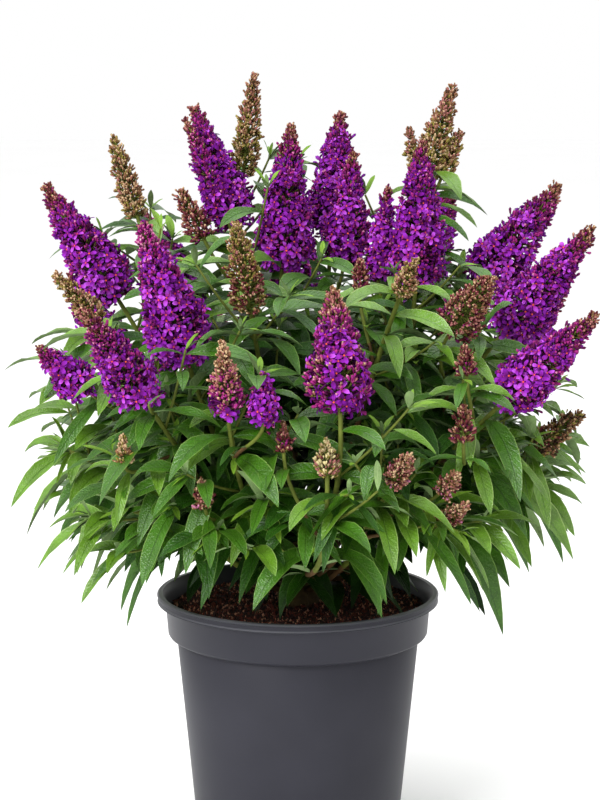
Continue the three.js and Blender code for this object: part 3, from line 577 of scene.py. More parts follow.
def run_shoot(shoot, start, leaving):
    """The stem's curve: it leaves its seat one way and comes to its spike the spike's way."""
    arriving = shoot["way"] * ARM * span_of(shoot, start)
    shoot["curve"] = new_curve(start, start + leaving, shoot["base"] - arriving, shoot["base"])


stems = []
for name, *run in STEMS + tuple((*leafy, 0, 0, 0, 0, "") for leafy in LEAFY_STEMS):
    turn, reach, height, lean, long, wide, has_bough, open_share, buds = run
    stem = new_shoot(turn, reach, height, lean, long, wide, open_share, buds)
    stem |= {"name": name, "number": len(stems), "first": BOUGH_SHARE * has_bough}
    stem["flatness"] = reach / (height - SOIL_LEVEL)
    stems.append(stem)
seat_stems()
for stem in stems:
    run_shoot(stem, stem["start"], stem["leaving"])
by_name = {stem["name"]: stem for stem in stems}
for of, at, *sizes in SIDES:
    side = new_shoot(*sizes)
    place, way = at_share(by_name[of]["curve"], at)
    heading = unit(way + (leaning(side["turn"], 60) - way) * 0.45)
    run_shoot(side, place, heading * ARM * span_of(side, place))
    by_name[of]["sides"].append(side)
FOLIAGE_NODES = [f"foliage_{stem['name']}" for stem in stems]
BOUGH_NODES = [f"bough_{stem['name']}" for stem in stems if stem["first"]]

# ---------------------------------------------------------------------------------------------
# Foot and boughs. The old wood: a stubby foot and the lower end of each main stem, under thin
# grey brown bark that splits lengthwise into strips.

BOUGH_RADIUS = 3.4
STEM_RADIUS = 3
FOOT_RINGS = 26
BOUGH_RINGS = 26
BOUGH_SIDES = 14
BARK_RELIEF = 0.16          # of a limb's radius
FOOT_RELIEF = 0.2
BARK_STRIPS = 9

bark = new_material("stringy bark", paint(72, 58, 36), 0.85, 220, 0.35, 0.7, 0.0006, 0.2)


def tube_faces(rings, sides):
    """The faces of a tube of so many rings of corners, with both ends closed."""
    faces = [tuple(range(sides))[::-1]]
    for low in range(0, (rings - 1) * sides, sides):
        for side in range(sides):
            next_side = (side + 1) % sides
            faces.append((low + side, low + next_side, low + sides + next_side, low + sides + side))
    return faces + [tuple((rings - 1) * sides + side for side in range(sides))]


def square_to(ways, turn):
    """Two directions square to a stem that turns one way from +X: to its side, and upwards."""
    lying = np.array([-math.sin(math.radians(turn)), math.cos(math.radians(turn)), 0.0])
    across = unit(lying - ways * (ways @ lying)[..., None])
    return across, np.cross(ways, across)


def tube_points(places, ways, radii, turn, sides):
    """Rings of corners round a path. radii is one for each ring, or one for each corner."""
    across, up = square_to(ways, turn)
    around = 2 * np.pi * np.arange(sides) / sides
    radii = np.broadcast_to(np.asarray(radii, float).reshape(len(places), -1), (len(places), sides))
    ring = across[:, None] * np.cos(around)[None, :, None] + up[:, None] * np.sin(around)[None, :, None]
    return (places[:, None] + ring * radii[..., None]).reshape(-1, 3)


def bark_relief(rings, sides, length, seed):
    """How far bark stands out at each corner, from -1 to 1: strips that wander along the limb."""
    relief = np.empty((rings, sides))
    for ring in range(rings):
        for side in range(sides):
            along = length * ring / rings
            x, y = math.cos(2 * math.pi * side / sides), math.sin(2 * math.pi * side / sides)
            strip = noise.noise(Vector((BARK_STRIPS * x / 4, BARK_STRIPS * y / 4, along / 40 + seed)))
            flake = noise.noise(Vector((x * 3, y * 3, along / 7 + seed)))
            relief[ring, side] = 1.2 * strip + 0.6 * flake
    return relief


foot_rises = [FOOT_HEIGHT * ring / FOOT_RINGS for ring in range(FOOT_RINGS)]
foot_profile = [(foot_radius(rise), SOIL_LEVEL + GAP + rise) for rise in foot_rises]
foot_profile.append((FOOT_RADIUS - 3, SOIL_LEVEL + FOOT_HEIGHT))
foot = turned_body("woody_foot", 40, foot_profile, (4, 4))
for vertex in foot.data.vertices:
    x, y, z = vertex.co / MM
    strip = noise.noise(Vector((x / 5, y / 5, z / 40))) + 0.5 * noise.noise(Vector((x / 3, y / 3, z / 6)))
    vertex.co.x *= 1 + FOOT_RELIEF * strip
    vertex.co.y *= 1 + FOOT_RELIEF * strip
bpy.ops.object.shade_smooth_by_angle(angle=math.radians(60))
foot.data.materials.append(bark)
settle(foot, "bark", "foot")

boughs = []
for stem in stems:
    if stem["first"]:
        places, ways = follow(stem["curve"], np.linspace(0, stem["first"], BOUGH_RINGS))
        length = stem["first"] * stem["curve"]["length"]
        relief = bark_relief(BOUGH_RINGS, BOUGH_SIDES, length, stem["number"] * 9)
        radii = np.linspace(BOUGH_RADIUS, STEM_RADIUS, BOUGH_RINGS)[:, None] * (1 + BARK_RELIEF * relief)
        boughs.append(tube_points(places, ways, radii, stem["turn"], BOUGH_SIDES))
faces = tube_faces(BOUGH_RINGS, BOUGH_SIDES)
plain = np.zeros((1, len(faces)), int)
join_copies("boughs", np.array(boughs), faces, plain, [bark], "bark", BOUGH_NODES)

# ---------------------------------------------------------------------------------------------
# Leaves. In pairs up every stem and twig, each pair turned past the one below: lance-shaped,
# folded along the midrib, arching down, dark green above and grey with felt below. Young ones
# at the shoot tips and in the leaf axils are small, upright and yellow green.

LEAF_LONG = 104
LEAF_SHORT = 72
LEAF_SLIM_LOW = 0.26        # width to length, low on a stem
LEAF_SLIM_HIGH = 0.225
NODE_STEP = 19
NODE_FIRST = 16
PAIR_TURN = 68
ROUND_SPREAD = 40
SLANT_LOW = 72              # between stem and leaf, low on the stem
SLANT_HIGH = 50             # and just under a flower spike
SLANT_SPREAD = 16
DROOP_LOW = 1.25
DROOP_HIGH = 0.85
ROLL_SPREAD = 40
LEAF_SIZES = (1, 0.82, 0.66)
LEAFY_WOOD = 0.45           # of a bough's length, its upper end, that still bears leaves
TWIG_LONG = 62
TWIG_SHARE_LOW = 0.3
TWIG_SHARE_HIGH = 0.5       # more of them higher up
TWIG_SLANT = 46
TWIG_TURN = 20
TWIG_LIFT = 0.18
TWIG_RINGS = 6
TWIG_LEAF_LONG = 62
TWIG_LEAF_SLANT = 42
TWIG_LEAF_DROOP = 0.7
TWIG_PAIRS = 3
BARE_AXILS = (13, 335, 592, 718, 719, 720, 844)    # twigs that this plant lacks, by their keys
TUFT_SHARE = 0.25
TUFT_LONG = 22              # in a leaf's axil
TWIG_TUFT_LONG = 24         # at the end of a twig
END_TUFT_LONG = 46          # at the end of a leafy stem
SIDE_LEAF_LONG = 52
CROWN_REACH = 252
CROWN_MIDDLE = 300          # how high the middle of the crown lies
CLEAR = 1.2
SPIKE_OVERLAP = 1.5         # how far a leaf may reach in among a spike's blossom
SKIRT = 232                 # how low the crown hangs in front and behind
FINE_SKIRT = 40             # how much higher the leaves stop that the solids leave out
SKIRT_DROP = 42             # and how much lower at its two sides
SIDE_REACH = 150
FINE_INSET = 12             # how much nearer in the leaves end that the solids leave out
RISE = 0.22                 # the steepest that a grown leaf sets out
FACE_TURN = 20              # degrees that a leaf at the side turns its face to the light in front
OUTER_REACH = 90            # to either side, past which sprays are painted paler: painted light
SHADE_REACH = 0.82          # of the crown's reach, inside which leaves are painted darker: painted shade
SHADE_DEPTH = 0.35
SPIKE_BELLY = 0.16
SPIKE_BASE = 0.6
SPIKE_TIP = 0.14
SPIKE_TIP_RADIUS = 3
BLADE_ROWS = np.array([0.07, 0.18, 0.31, 0.45, 0.6, 0.75, 0.88, 0.96])
PROBE = np.array([0.12, 0.35, 0.6, 0.8, 1.0])
FOLD = 20                   # degrees that each half of a blade rises from the midrib
SWEEP = 0.16                # of a blade's length, how far its tips swing between left and right

leaves = []                 # root, way, length, slimness, droop, roll, age, spray
twigs = []                  # places, ways, turn


def rods_of(shoot):
    """A spike as two tapering rods, and the room on its outer and sunny faces above its foot."""
    base, wide = shoot["base"], shoot["wide"]
    tip = base + shoot["way"] * shoot["long"]
    belly, low = between(base, tip, SPIKE_BELLY), between(base, tip, 0.3)
    rods = [(base, belly, wide / 2 * SPIKE_BASE, wide / 2), (belly, tip, wide / 2, SPIKE_TIP_RADIUS)]
    for reach in (16, 34, 54):
        for way in (leaning(shoot["turn"], 90), leaning(-90, 90)):
            rods.append((low + reach * way, tip + reach * way, wide * 0.36, 2))
    return rods


spikes = [shoot for stem in stems for shoot in (stem, *stem["sides"]) if shoot["long"]]
rods = zip(*[rod for spike in spikes for rod in rods_of(spike)])
ROD_FROM, ROD_TO, ROD_FIRST, ROD_LAST = (np.array(part) for part in rods)
ROD_LINE = ROD_TO - ROD_FROM


def clear_of_spikes(points):
    """Whether no point lies deeper in a rod than the overlap allows."""
    away = points[:, None] - ROD_FROM[None]
    share = np.clip(np.sum(away * ROD_LINE, axis=2) / np.sum(ROD_LINE**2, axis=1), 0, 1)
    gap = np.linalg.norm(away - ROD_LINE * share[..., None], axis=2) - between(ROD_FIRST, ROD_LAST, share)
    return gap.min() > -SPIKE_OVERLAP


def has_room(points, fine=True):
    """Whether all points lie in the crown and above its skirt, off the pot and off the spikes."""
    reach, height = np.hypot(points[:, 0], points[:, 1]), points[:, 2]
    skirt = SKIRT - SKIRT_DROP * np.minimum(1, np.abs(points[:, 0]) / SIDE_REACH) ** 1.5
    above = height > skirt + FINE_SKIRT if fine else (height > skirt) | (reach < COLLAR_LOW_RADIUS)
    in_pot = (reach < LIP_RADIUS - LIP_WIDTH - 2 * CLEAR) & (height > SOIL_LEVEL + 4)
    off_pot = (height > POT_HEIGHT + CLEAR) | (reach > LIP_RADIUS + CLEAR) | in_pot
    in_crown = reach.max() < CROWN_REACH - FINE_INSET * fine
    return in_crown and np.all(above & off_pot) and clear_of_spikes(points)


def blade_path(root, way, long, droop, roll, along):
    """Places, sideways and upward directions along a blade that bends down under its weight.

    Every argument but along may be an array of blades. along is the shares of the length.
    """
    root, way = np.atleast_2d(root)[:, None], np.atleast_2d(way)[:, None]
    long, droop, roll = (np.atleast_1d(value)[:, None, None] for value in (long, droop, roll))
    a = along[None, :, None]
    down = np.array([0, 0, 1.0])
    place = root + way * long * (a - 0.2 * droop * a * a) - down * 0.5 * long * droop * a * a
    heading = unit(way * (1 - 0.4 * droop * a) - down * droop * a)
    flat = np.concatenate([-heading[..., 1:2], heading[..., 0:1], 0 * heading[..., :1]], axis=-1)
    level = np.concatenate([-way[..., 1:2], way[..., 0:1], 0 * way[..., :1]], axis=-1)
    across = unit(np.where(np.sum(flat**2, axis=-1, keepdims=True) < 0.01, level, flat))
    turned = np.radians(roll)
    across = across * np.cos(turned) + np.cross(heading, across) * np.sin(turned)
    return place, across, np.cross(heading, across)


def blade_half_width(along):
    """Half the width of a blade of width 1: a narrow foot, widest in the middle, then a long point."""
    return 0.5 * 3.81 * along**0.95 * (1 - along) ** 0.98


def slanting(way, turn, around, slant):
    """A direction that leaves a stem's own at a slant, at an angle round the stem."""
    across, up = square_to(way, turn)
    around, slant = math.radians(around), math.radians(slant)
    return way * math.cos(slant) + (across * math.cos(around) + up * math.sin(around)) * math.sin(slant)


def add_leaf(root, way, long, slim, droop, roll, age, spray, fine=True):
    """The leaf turns its face to the light and goes in at the first of three sizes that has room."""
    way = unit(np.array([way[0], way[1], min(way[2], RISE)]))
    roll += FACE_TURN * way[0]
    for size in LEAF_SIZES:
        place, across, _ = blade_path(root, way, long * size, droop, roll, PROBE)
        half = long * size * slim * blade_half_width(PROBE)[:, None]
        points = np.concatenate([place[0], place[0] + across[0] * half, place[0] - across[0] * half])
        if has_room(points, fine):
            leaves.append((*root, *way, long * size, slim, droop, roll, age, spray))
            return


def grow_leaves(stem):
    """Pairs of leaves up a stem, now and then with a leafy twig or a tuft in a leaf's axil."""
    key, turn, length = stem["number"], stem["turn"], stem["curve"]["length"]
    low = stem["first"] * length + NODE_FIRST
    on_wood = int(stem["first"] * length * LEAFY_WOOD / NODE_STEP)
    for node in range(-on_wood, int((length - low) // NODE_STEP) + 1):
        at = (low + node * NODE_STEP) / length
        place, way = at_share(stem["curve"], at)
        for hand in (0, 1):
            luck = [chance(key, node, hand, what) for what in range(8)]
            around = node * PAIR_TURN + hand * 180 + ROUND_SPREAD * (luck[1] - 0.5)
            long = between(LEAF_LONG, LEAF_SHORT, at) * (0.8 + 0.35 * luck[2])
            slant = between(SLANT_LOW, SLANT_HIGH, at) + SLANT_SPREAD * (luck[3] - 0.5)
            droop = between(DROOP_LOW, DROOP_HIGH, at) * (0.65 + 0.7 * luck[4])
            slim = between(LEAF_SLIM_LOW, LEAF_SLIM_HIGH, at)
            out = slanting(way, turn, around, slant)
            roll = ROLL_SPREAD * (luck[6] - 0.5)
            fine = node % 2 or node < 0
            add_leaf(place, out, long, slim, droop, roll, int(at >= 0.5), key, fine)
            twig_key = key * 64 + node * 2 + hand
            if twig_key in BARE_AXILS:
                continue
            if luck[5] < between(TWIG_SHARE_LOW, TWIG_SHARE_HIGH, at):
                twig_way = slanting(way, turn, around + TWIG_TURN, TWIG_SLANT)
                grow_twig(turn, place, twig_way, twig_key, slim, between(1.2, 0.95, at))
            elif luck[7] < TUFT_SHARE:
                grow_tuft(turn, place, slanting(way, turn, around, 35), twig_key, TUFT_LONG)


def grow_twig(turn, place, way, key, slim, size):
    """A twig that lifts at its end, with a tuft and pairs of leaves, if its tuft has room."""
    long = TWIG_LONG * (0.6 + 0.6 * chance(key, 6))
    tip = place + way * long
    tip[2] += TWIG_LIFT * long
    curve = new_curve(place, place + way * long / 2, tip)
    points, ways = follow(curve, np.linspace(0, 1, TWIG_RINGS))
    if not has_room(points[1:]) or not grow_tuft(turn, points[-1], ways[-1], key, TWIG_TUFT_LONG):
        return
    twigs.append((points, ways, turn))
    for pair in range(TWIG_PAIRS):
        root, end = at_share(curve, between(0.94, 0.3, pair / TWIG_PAIRS))
        for hand in (0, 1):
            around = 90 * chance(key, 7) + 180 * hand + 90 * pair
            leaf_long = TWIG_LEAF_LONG * size * (0.8 + 0.4 * chance(key, hand, 8 + pair * 5))
            roll = ROLL_SPREAD * (chance(key, hand, 10 + pair * 5) - 0.5)
            out = slanting(end, turn, around, TWIG_LEAF_SLANT + 12 * pair)
            add_leaf(root, out, leaf_long, slim, TWIG_LEAF_DROOP, roll, 1, key)


def grow_tuft(turn, place, way, key, long):
    """Three crossed pairs of young leaves, the inner ones shorter and more upright, if there is room."""
    before = len(leaves)
    for pair in range(3):
        for hand in (0, 1):
            around = 90 * pair + 180 * hand + 360 * chance(key, 31)
            size = long * (1 - 0.22 * pair) * (0.7 + 0.6 * chance(key, pair, hand, 32))
            out = slanting(way, turn, around, 48 - 14 * pair)
            if has_room(place + out * size * PROBE[:, None]):
                roll = 30 * (chance(key, pair, hand, 33) - 0.5)
                leaves.append((*place, *out, size, LEAF_SLIM_HIGH, 0.35, roll, 2, key))
    return len(leaves) > before


for stem in stems:
    grow_leaves(stem)
    if not stem["long"]:
        grow_tuft(stem["turn"], stem["base"], stem["way"], 9000 + stem["number"], END_TUFT_LONG)
    for side_number, side in enumerate(stem["sides"]):
        key = 700 + stem["number"] * 4 + side_number
        for node in range(2):
            place, way = at_share(side["curve"], 0.45 + 0.4 * node)
            for hand in (0, 1):
                out = slanting(way, side["turn"], 90 * node + 180 * hand + 60 * chance(key, 3), 58)
                leaf_long = SIDE_LEAF_LONG * (0.75 + 0.5 * chance(key, node, hand, 4))
                roll = 50 * (chance(key, node, hand, 5) - 0.5)
                add_leaf(place, out, leaf_long, LEAF_SLIM_HIGH, 0.8, roll, 1, key)


def veins_group():
    """Over a blade's own map a sunk midrib, faint side veins and a paler rim, and fine puckers."""
    tree, start, end = new_group(
        "veins",
        {"Vector": "Vector", "Place": "Vector", "Color": "Color", "Vein Color": "Color",
         "Rim Color": "Color", "Veins": "Float"},
        {"Color": "Color", "Height": "Float"},
    )
    x, y, _ = add_node(tree, "SeparateXYZ", {0: start["Vector"]}).outputs
    off = calculated(tree, "ABSOLUTE", calculated(tree, "MULTIPLY_ADD", x, 2.0, -1.0))
    midrib = stretched(tree, off, 0.02, 0.1, 1.0, 0.0)
    along = calculated(tree, "MULTIPLY", y, start["Veins"])
    saw = calculated(tree, "FRACT", calculated(tree, "MULTIPLY_ADD", off, -1.9, along))
    peak = calculated(tree, "ABSOLUTE", calculated(tree, "SUBTRACT", saw, 0.5))
    lines = calculated(tree, "MAXIMUM", midrib, stretched(tree, peak, 0.03, 0.16, 0.22, 0.0))
    veined = mixed(tree, lines, start["Color"], start["Vein Color"])
    cells = add_node(tree, "TexVoronoi", {"Vector": start["Place"], "Scale": 640}).outputs
    pucker = stretched(tree, cells["Distance"], 0.1, 0.6, 0.14, 0.0)
    puckered = mixed(tree, pucker, veined, start["Rim Color"])
    rim = stretched(tree, off, 0.9, 0.97, 0.0, 0.65)
    feed(tree, end["Color"], mixed(tree, rim, puckered, start["Rim Color"]))
    bulge = calculated(tree, "MULTIPLY_ADD", peak, 0.6, calculated(tree, "MULTIPLY", pucker, 6.0))
    feed(tree, end["Height"], calculated(tree, "SUBTRACT", bulge, lines))
    return tree


VEINS = veins_group()


def own_map(tree):
    """Where a point lies on its blade's or its petal's own map."""
    return add_node(tree, "UVMap", {}, uv_map="blade").outputs["UV"]


def leaf_material(name, color, vein_color, rim_color, roughness, shine):
    """A mottled leaf with its veins, rim and puckers drawn in and raised over its own map."""
    material = new_material(name, color, roughness, 70, 0.3, 0.5, 0.0006, shine)
    tree = material.node_tree
    terms = {
        "Vector": own_map(tree), "Place": tree.nodes["Texture Coordinate"].outputs["Object"],
        "Color": tree.nodes["mottle"].outputs["Color"],
        "Vein Color": vein_color, "Rim Color": rim_color, "Veins": 13,
    }
    veins = add_node(tree, "Group", terms, node_tree=VEINS).outputs
    feed(tree, tree.nodes["Principled BSDF"].inputs["Base Color"], veins["Color"])
    feed(tree, tree.nodes["relief"].inputs["Height"], veins["Height"])
    return material


# For upper faces from the darkest, the painted shade deep in the crown, to the youngest, and for all lower
# faces.
LEAF_MATERIALS = [
    leaf_material("painted shade green", paint(15, 40, 5), paint(10, 30, 3), paint(44, 76, 22), 0.42, 0.12),
    leaf_material("deep green", paint(33, 73, 8), paint(22, 54, 4), paint(100, 136, 60), 0.36, 0.28),
    leaf_material("middle green", paint(53, 97, 12), paint(37, 75, 5), paint(124, 156, 74), 0.34, 0.46),
    leaf_material("bright green", paint(86, 127, 26), paint(64, 104, 13), paint(160, 186, 108), 0.34, 0.54),
    leaf_material("young green", paint(110, 150, 36), paint(94, 134, 34), paint(152, 182, 84), 0.5, 0.4),
    leaf_material("grey felt", paint(112, 138, 84), paint(138, 158, 108), paint(130, 152, 98), 0.85, 0.3),
]
YOUNG, FELT = 4, 5

table = np.array(leaves)
roots, ways = table[:, 0:3], table[:, 3:6]
longs, slims, droops, rolls = table[:, 6:10].T
ages, sprays = table[:, 10].astype(int), table[:, 11].astype(int)
place, across, up = blade_path(roots, ways, longs, droops, rolls, np.array([0, *BLADE_ROWS, 1]))
luck = np.array([[chance(spray, 40), chance(spray, number, 41)] for number, spray in enumerate(sprays)])
broad = longs * slims * (0.78 + 0.32 * luck[:, 1])
half = broad[:, None] * blade_half_width(BLADE_ROWS)[None]
fold = np.radians(FOLD * (0.4 + luck[:, 0]))[:, None, None]
wave = 0.14 * half * np.sin(BLADE_ROWS * 9 + 40 * luck[:, 1:])
swing = (luck[:, 1:] - 0.5) * SWEEP * longs[:, None]
middle = place[:, 1:-1] + across[:, 1:-1] * (swing * BLADE_ROWS**2)[..., None]
tip = place[:, -1] + across[:, -1] * swing
out, rise = across[:, 1:-1] * np.cos(fold) * half[..., None], up[:, 1:-1] * np.sin(fold) * half[..., None]
ripple = up[:, 1:-1] * wave[..., None]
left, right = middle - out + rise + ripple, middle + out + rise - ripple
thick = 0.008 * longs[:, None, None] * (1 - BLADE_ROWS)[None, :, None] + 0.12
below = middle - up[:, 1:-1] * thick
rows = np.stack([left, middle, right, below], axis=2).reshape(len(longs), -1, 3)
blades = np.concatenate([place[:, :1], rows, tip[:, None]], axis=1)

# Corners: the root, then each row's left edge, rib, right edge and underside, then the tip.
ROWS = len(BLADE_ROWS)
TIP = 4 * ROWS + 1
LEFT, RIB, RIGHT, LOW = 1, 2, 3, 4
last = 4 * (ROWS - 1)
blade_faces = [(0, LEFT, RIB), (0, RIB, RIGHT)]
for here in range(0, last, 4):
    for one, two in ((LEFT, RIB), (RIB, RIGHT)):
        blade_faces.append((here + one, here + one + 4, here + two + 4, here + two))
blade_faces += [(LEFT + last, TIP, RIB + last), (RIB + last, TIP, RIGHT + last)]
upper_faces = len(blade_faces)
for face in blade_faces[:upper_faces]:
    turned = (face[0], *face[:0:-1])
    blade_faces.append(tuple(corner + LOW - RIB if corner % 4 == RIB else corner for corner in turned))
blade_map = [(0.5, 0), *((x, row) for row in BLADE_ROWS for x in (0, 0.5, 1, 0.5)), (0.5, 1)]
margin = [0, TIP] + [side + 4 * row for row in range(ROWS) for side in (LEFT, RIGHT)]

# Tone: partly random and by age, partly painted light and shade: paler far to the sides, darker deep in the
# crown.
outer = np.clip((np.abs(roots[:, 0]) - OUTER_REACH) / OUTER_REACH, 0, 1)
middles = roots + ways * longs[:, None] * 0.6
aside = (middles[:, 0] ** 2 + middles[:, 1] ** 2) / CROWN_REACH**2
reach = np.sqrt(aside + ((middles[:, 2] - CROWN_MIDDLE) / CROWN_REACH) ** 2)
inner = np.clip((SHADE_REACH - reach) / SHADE_DEPTH, 0, 1)
light = luck[:, 0] * 1.5 + luck[:, 1] * 0.9 + ages * 0.45 + outer * 0.9 - inner * 1.6 + 1
tone = np.where(ages == 2, YOUNG, np.clip(light.astype(int), 0, YOUNG - 1))
leaf_tints = np.repeat(tone[:, None], len(blade_faces), axis=1)
leaf_tints[:, upper_faces:] = FELT
join_copies("leaves", blades, blade_faces, leaf_tints, LEAF_MATERIALS, "foliage", FOLIAGE_NODES,
            blade_map, margin)

# ---------------------------------------------------------------------------------------------
# Stems and twigs. This year's wood: square to the touch when young, olive green under a thin
# felt, brown where it is older. The stem runs on through its spike.

STEM_RINGS = 30
STEM_SIDES = 8
TWIG_SIDES = 5
TWIG_RADIUS = 1.2
TWIG_TIP_RADIUS = 0.9
WOODY_SHARE = 0.45          # of a stem's green length that has turned brown
SHOOT_RADIUS = 1.7          # of a stem just under its spike
SIDE_RADIUS = 1.6
SIDE_TIP_RADIUS = 1.4

stem_materials = [
    new_material("brown stem", paint(84, 62, 36), 0.75, 180, 0.3, 0.4, 0.0004, 0.2),
    new_material("olive stem", paint(90, 100, 36), 0.7, 160, 0.25, 0.3, 0.0003, 0.2),
]


def stem_of(shoot, first, radius, tip_radius):
    """A shoot's stem from its seat to its spike, and on through it to near the tip."""
    outside = STEM_RINGS * 2 // 3 if shoot["long"] else STEM_RINGS
    places, ways = follow(shoot["curve"], np.linspace(first, 1, outside))
    if shoot["long"]:
        inside = np.linspace(0.04, 0.97, STEM_RINGS - outside)[:, None]
        places = np.concatenate([places, shoot["base"] + shoot["way"] * shoot["long"] * inside])
        ways = np.concatenate([ways, np.repeat(shoot["way"][None], len(inside), axis=0)])
    radii = np.concatenate([
        between(radius, tip_radius, np.linspace(0, 1, outside) ** 0.6),
        np.linspace(tip_radius * 0.9, 0.5, STEM_RINGS - outside),
    ])
    return tube_points(places, ways, radii, shoot["turn"], STEM_SIDES)


tubes = [stem_of(stem, stem["first"], STEM_RADIUS, SHOOT_RADIUS) for stem in stems]
tubes += [stem_of(side, 0, SIDE_RADIUS, SIDE_TIP_RADIUS) for stem in stems for side in stem["sides"]]
faces = tube_faces(STEM_RINGS, STEM_SIDES)
woody = int(WOODY_SHARE * STEM_RINGS * 0.67) * STEM_SIDES
wood_tint = np.array([[0] * woody + [1] * (len(faces) - woody)])
join_copies("stems", np.array(tubes), faces, wood_tint, stem_materials, "bark", FOLIAGE_NODES)

radii = np.linspace(TWIG_RADIUS, TWIG_TIP_RADIUS, TWIG_RINGS)
tubes = [tube_points(places, ways, radii, turn, TWIG_SIDES) for places, ways, turn in twigs]
faces = tube_faces(TWIG_RINGS, TWIG_SIDES)
olive = np.ones((1, len(faces)), int)
join_copies("twigs", np.array(tubes), faces, olive, stem_materials, "bark", FOLIAGE_NODES)

# ---------------------------------------------------------------------------------------------
# Flower spikes. Clusters stand in whorls round the stem, close at the tip and wider apart low
# down. They open from below: four-petalled violet florets with an orange eye, then plum and
# magenta buds, then hard brown ones at the tip. On young spikes all are still in bud.

WHORL_STEP = 7.2            # between whorls at the foot of an open spike
WHORL_TIP_STEP = 3.8
CLUSTER_ROOM = 9.2          # round the spike, for one cluster
BUD_WHORL_STEP = 4.6
BUD_WHORL_TIP_STEP = 2.5
BUD_CLUSTER_ROOM = 6.0
YOUNG_WHORL_STEP = 6.6      # on a spike still all in bud, whose clusters stand apart
YOUNG_CLUSTER_ROOM = 7.6
WHORL_TURN = 2.4            # radians from one whorl to the next
FIRST_WHORL = 0.04          # of a spike's length
PETAL_REACH = 2.6           # how far a floret stands out past its throat
BUD_REACH = 1.8
SECOND_FLORET = 0.42        # how often an open cluster has another
SECOND_STEP = 4.8           # how far it stands from the first
LATE_BUDS = 6               # in an open cluster
FULL_CLUSTER = 7            # the buds of a cluster low down on a spike
SMALL_CLUSTER = 5
FAN = 0.42                  # how widely a cluster's buds spread
MOST_OPEN = 0.84            # the share of clusters in flower at the foot of a spike
RAGGED_OPEN = 0.6           # and on a spike that opens raggedly
BUD_SIDES = 3
BUD_RINGS = ((0.32, 0.72), (0.8, 1.0))      # how far along a bud, and of its widest
PALE_TIPS = 0.32            # the share of buds with a paler tip
BUD_COLORS = {
    "violet": paint(108, 18, 132), "plum": paint(94, 13, 76), "magenta": paint(146, 36, 112),
    "blush": paint(190, 118, 150), "rose": paint(156, 100, 94), "maroon": paint(92, 34, 42),
    "brown": paint(126, 88, 62), "tan": paint(186, 158, 122), "olive": paint(134, 122, 58),
    "dark": paint(62, 44, 30), "cream": paint(204, 190, 140),
}
TINTS = list(BUD_COLORS)
# The tints of a spike's buds from its foot to its tip, each a band that shades into the next. A
# band names its commonest tint first and its rarest last.
BUD_BANDS = {
    "plum": ("violet plum magenta", "plum violet magenta", "plum magenta maroon",
             "maroon plum rose", "maroon brown rose"),
    "magenta": ("violet magenta plum", "magenta plum violet", "magenta plum blush",
                "magenta plum blush", "plum magenta rose"),
    "rose": ("magenta plum rose", "magenta rose plum", "rose magenta maroon",
             "rose maroon brown", "brown rose tan"),
    "russet": ("brown maroon olive", "maroon olive rose", "brown olive maroon",
               "brown olive rose", "olive brown tan"),
    "maroon": ("maroon brown plum", "maroon rose plum", "maroon brown rose",
               "maroon brown rose", "brown maroon rose"),
    "brown": ("brown olive tan", "brown tan rose", "brown olive rose",
              "brown olive dark", "brown olive tan"),
    "olive": ("olive brown tan", "olive brown tan", "brown olive rose",
              "brown rose olive", "brown rose dark"),
    "mauve": ("magenta plum rose", "rose magenta brown", "rose brown maroon",
              "brown rose tan", "brown tan rose"),
    "tan": ("brown olive tan", "brown tan olive", "brown tan olive",
            "tan brown olive", "tan brown olive"),
    "cream": ("rose olive cream", "cream rose olive", "cream olive maroon",
              "cream olive tan", "cream tan olive"),
    "pink": ("brown maroon blush", "brown rose maroon", "brown rose maroon",
             "brown tan rose", "rose brown tan"),
    "dark": ("dark brown olive", "brown dark maroon", "brown dark olive",
             "brown dark tan", "brown olive dark"),
}
TIP_TINTS = {"plum": "magenta", "magenta": "blush", "rose": "tan", "maroon": "rose", "brown": "tan",
             "olive": "tan", "dark": "brown", "violet": "magenta"}
CALYX_TINTS = {
    "magenta": "plum maroon dark", "maroon": "maroon dark brown", "dark": "dark brown maroon",
    "russet": "olive dark brown", "brown": "olive dark brown", "olive": "olive dark brown",
    "tan": "olive dark brown", "cream": "olive cream brown",
}

florets = []                # place, facing, size, tint
buds = []                   # place, way, length, width, tints of calyx, body and tip
stalks = []                 # from, to, tint


def spike_radius(spike, at):
    """A spike's radius at a share of its length: a narrow cone, or a blunter one still in bud."""
    foot, tip, bend = (SPIKE_BASE, SPIKE_TIP, 1.15) if spike["open"] else (0.8, 0.27, 1.5)
    swell = between(foot, 1, min(1, at / SPIKE_BELLY))
    beyond = max(0, at - SPIKE_BELLY) / (1 - SPIKE_BELLY)
    return spike["wide"] / 2 * swell * between(1, tip, beyond**bend)


def pick(tints):
    """The number of one of three tints, the first the likeliest."""
    return TINTS.index(tints.split()[random.choice(3, p=(0.5, 0.3, 0.2))])


def add_bud(start, aim, long, wide, tint, calyx):
    """A bud whose tip is now and then paler than its body."""
    tip = TINTS.index(TIP_TINTS.get(TINTS[tint], TINTS[tint])) if random.random() < PALE_TIPS else tint
    buds.append((*start, *aim, long, wide, calyx, tint, tip))


def bud_band(spike, at):
    """The tints of the buds at a share of a spike's length, where one band shades into the next."""
    bands = BUD_BANDS[spike["buds"]]
    share = (at - spike["open"]) / (1 - spike["open"]) + 0.1 * random.normal()
    return bands[int(np.clip(share * len(bands), 0, len(bands) - 1))]


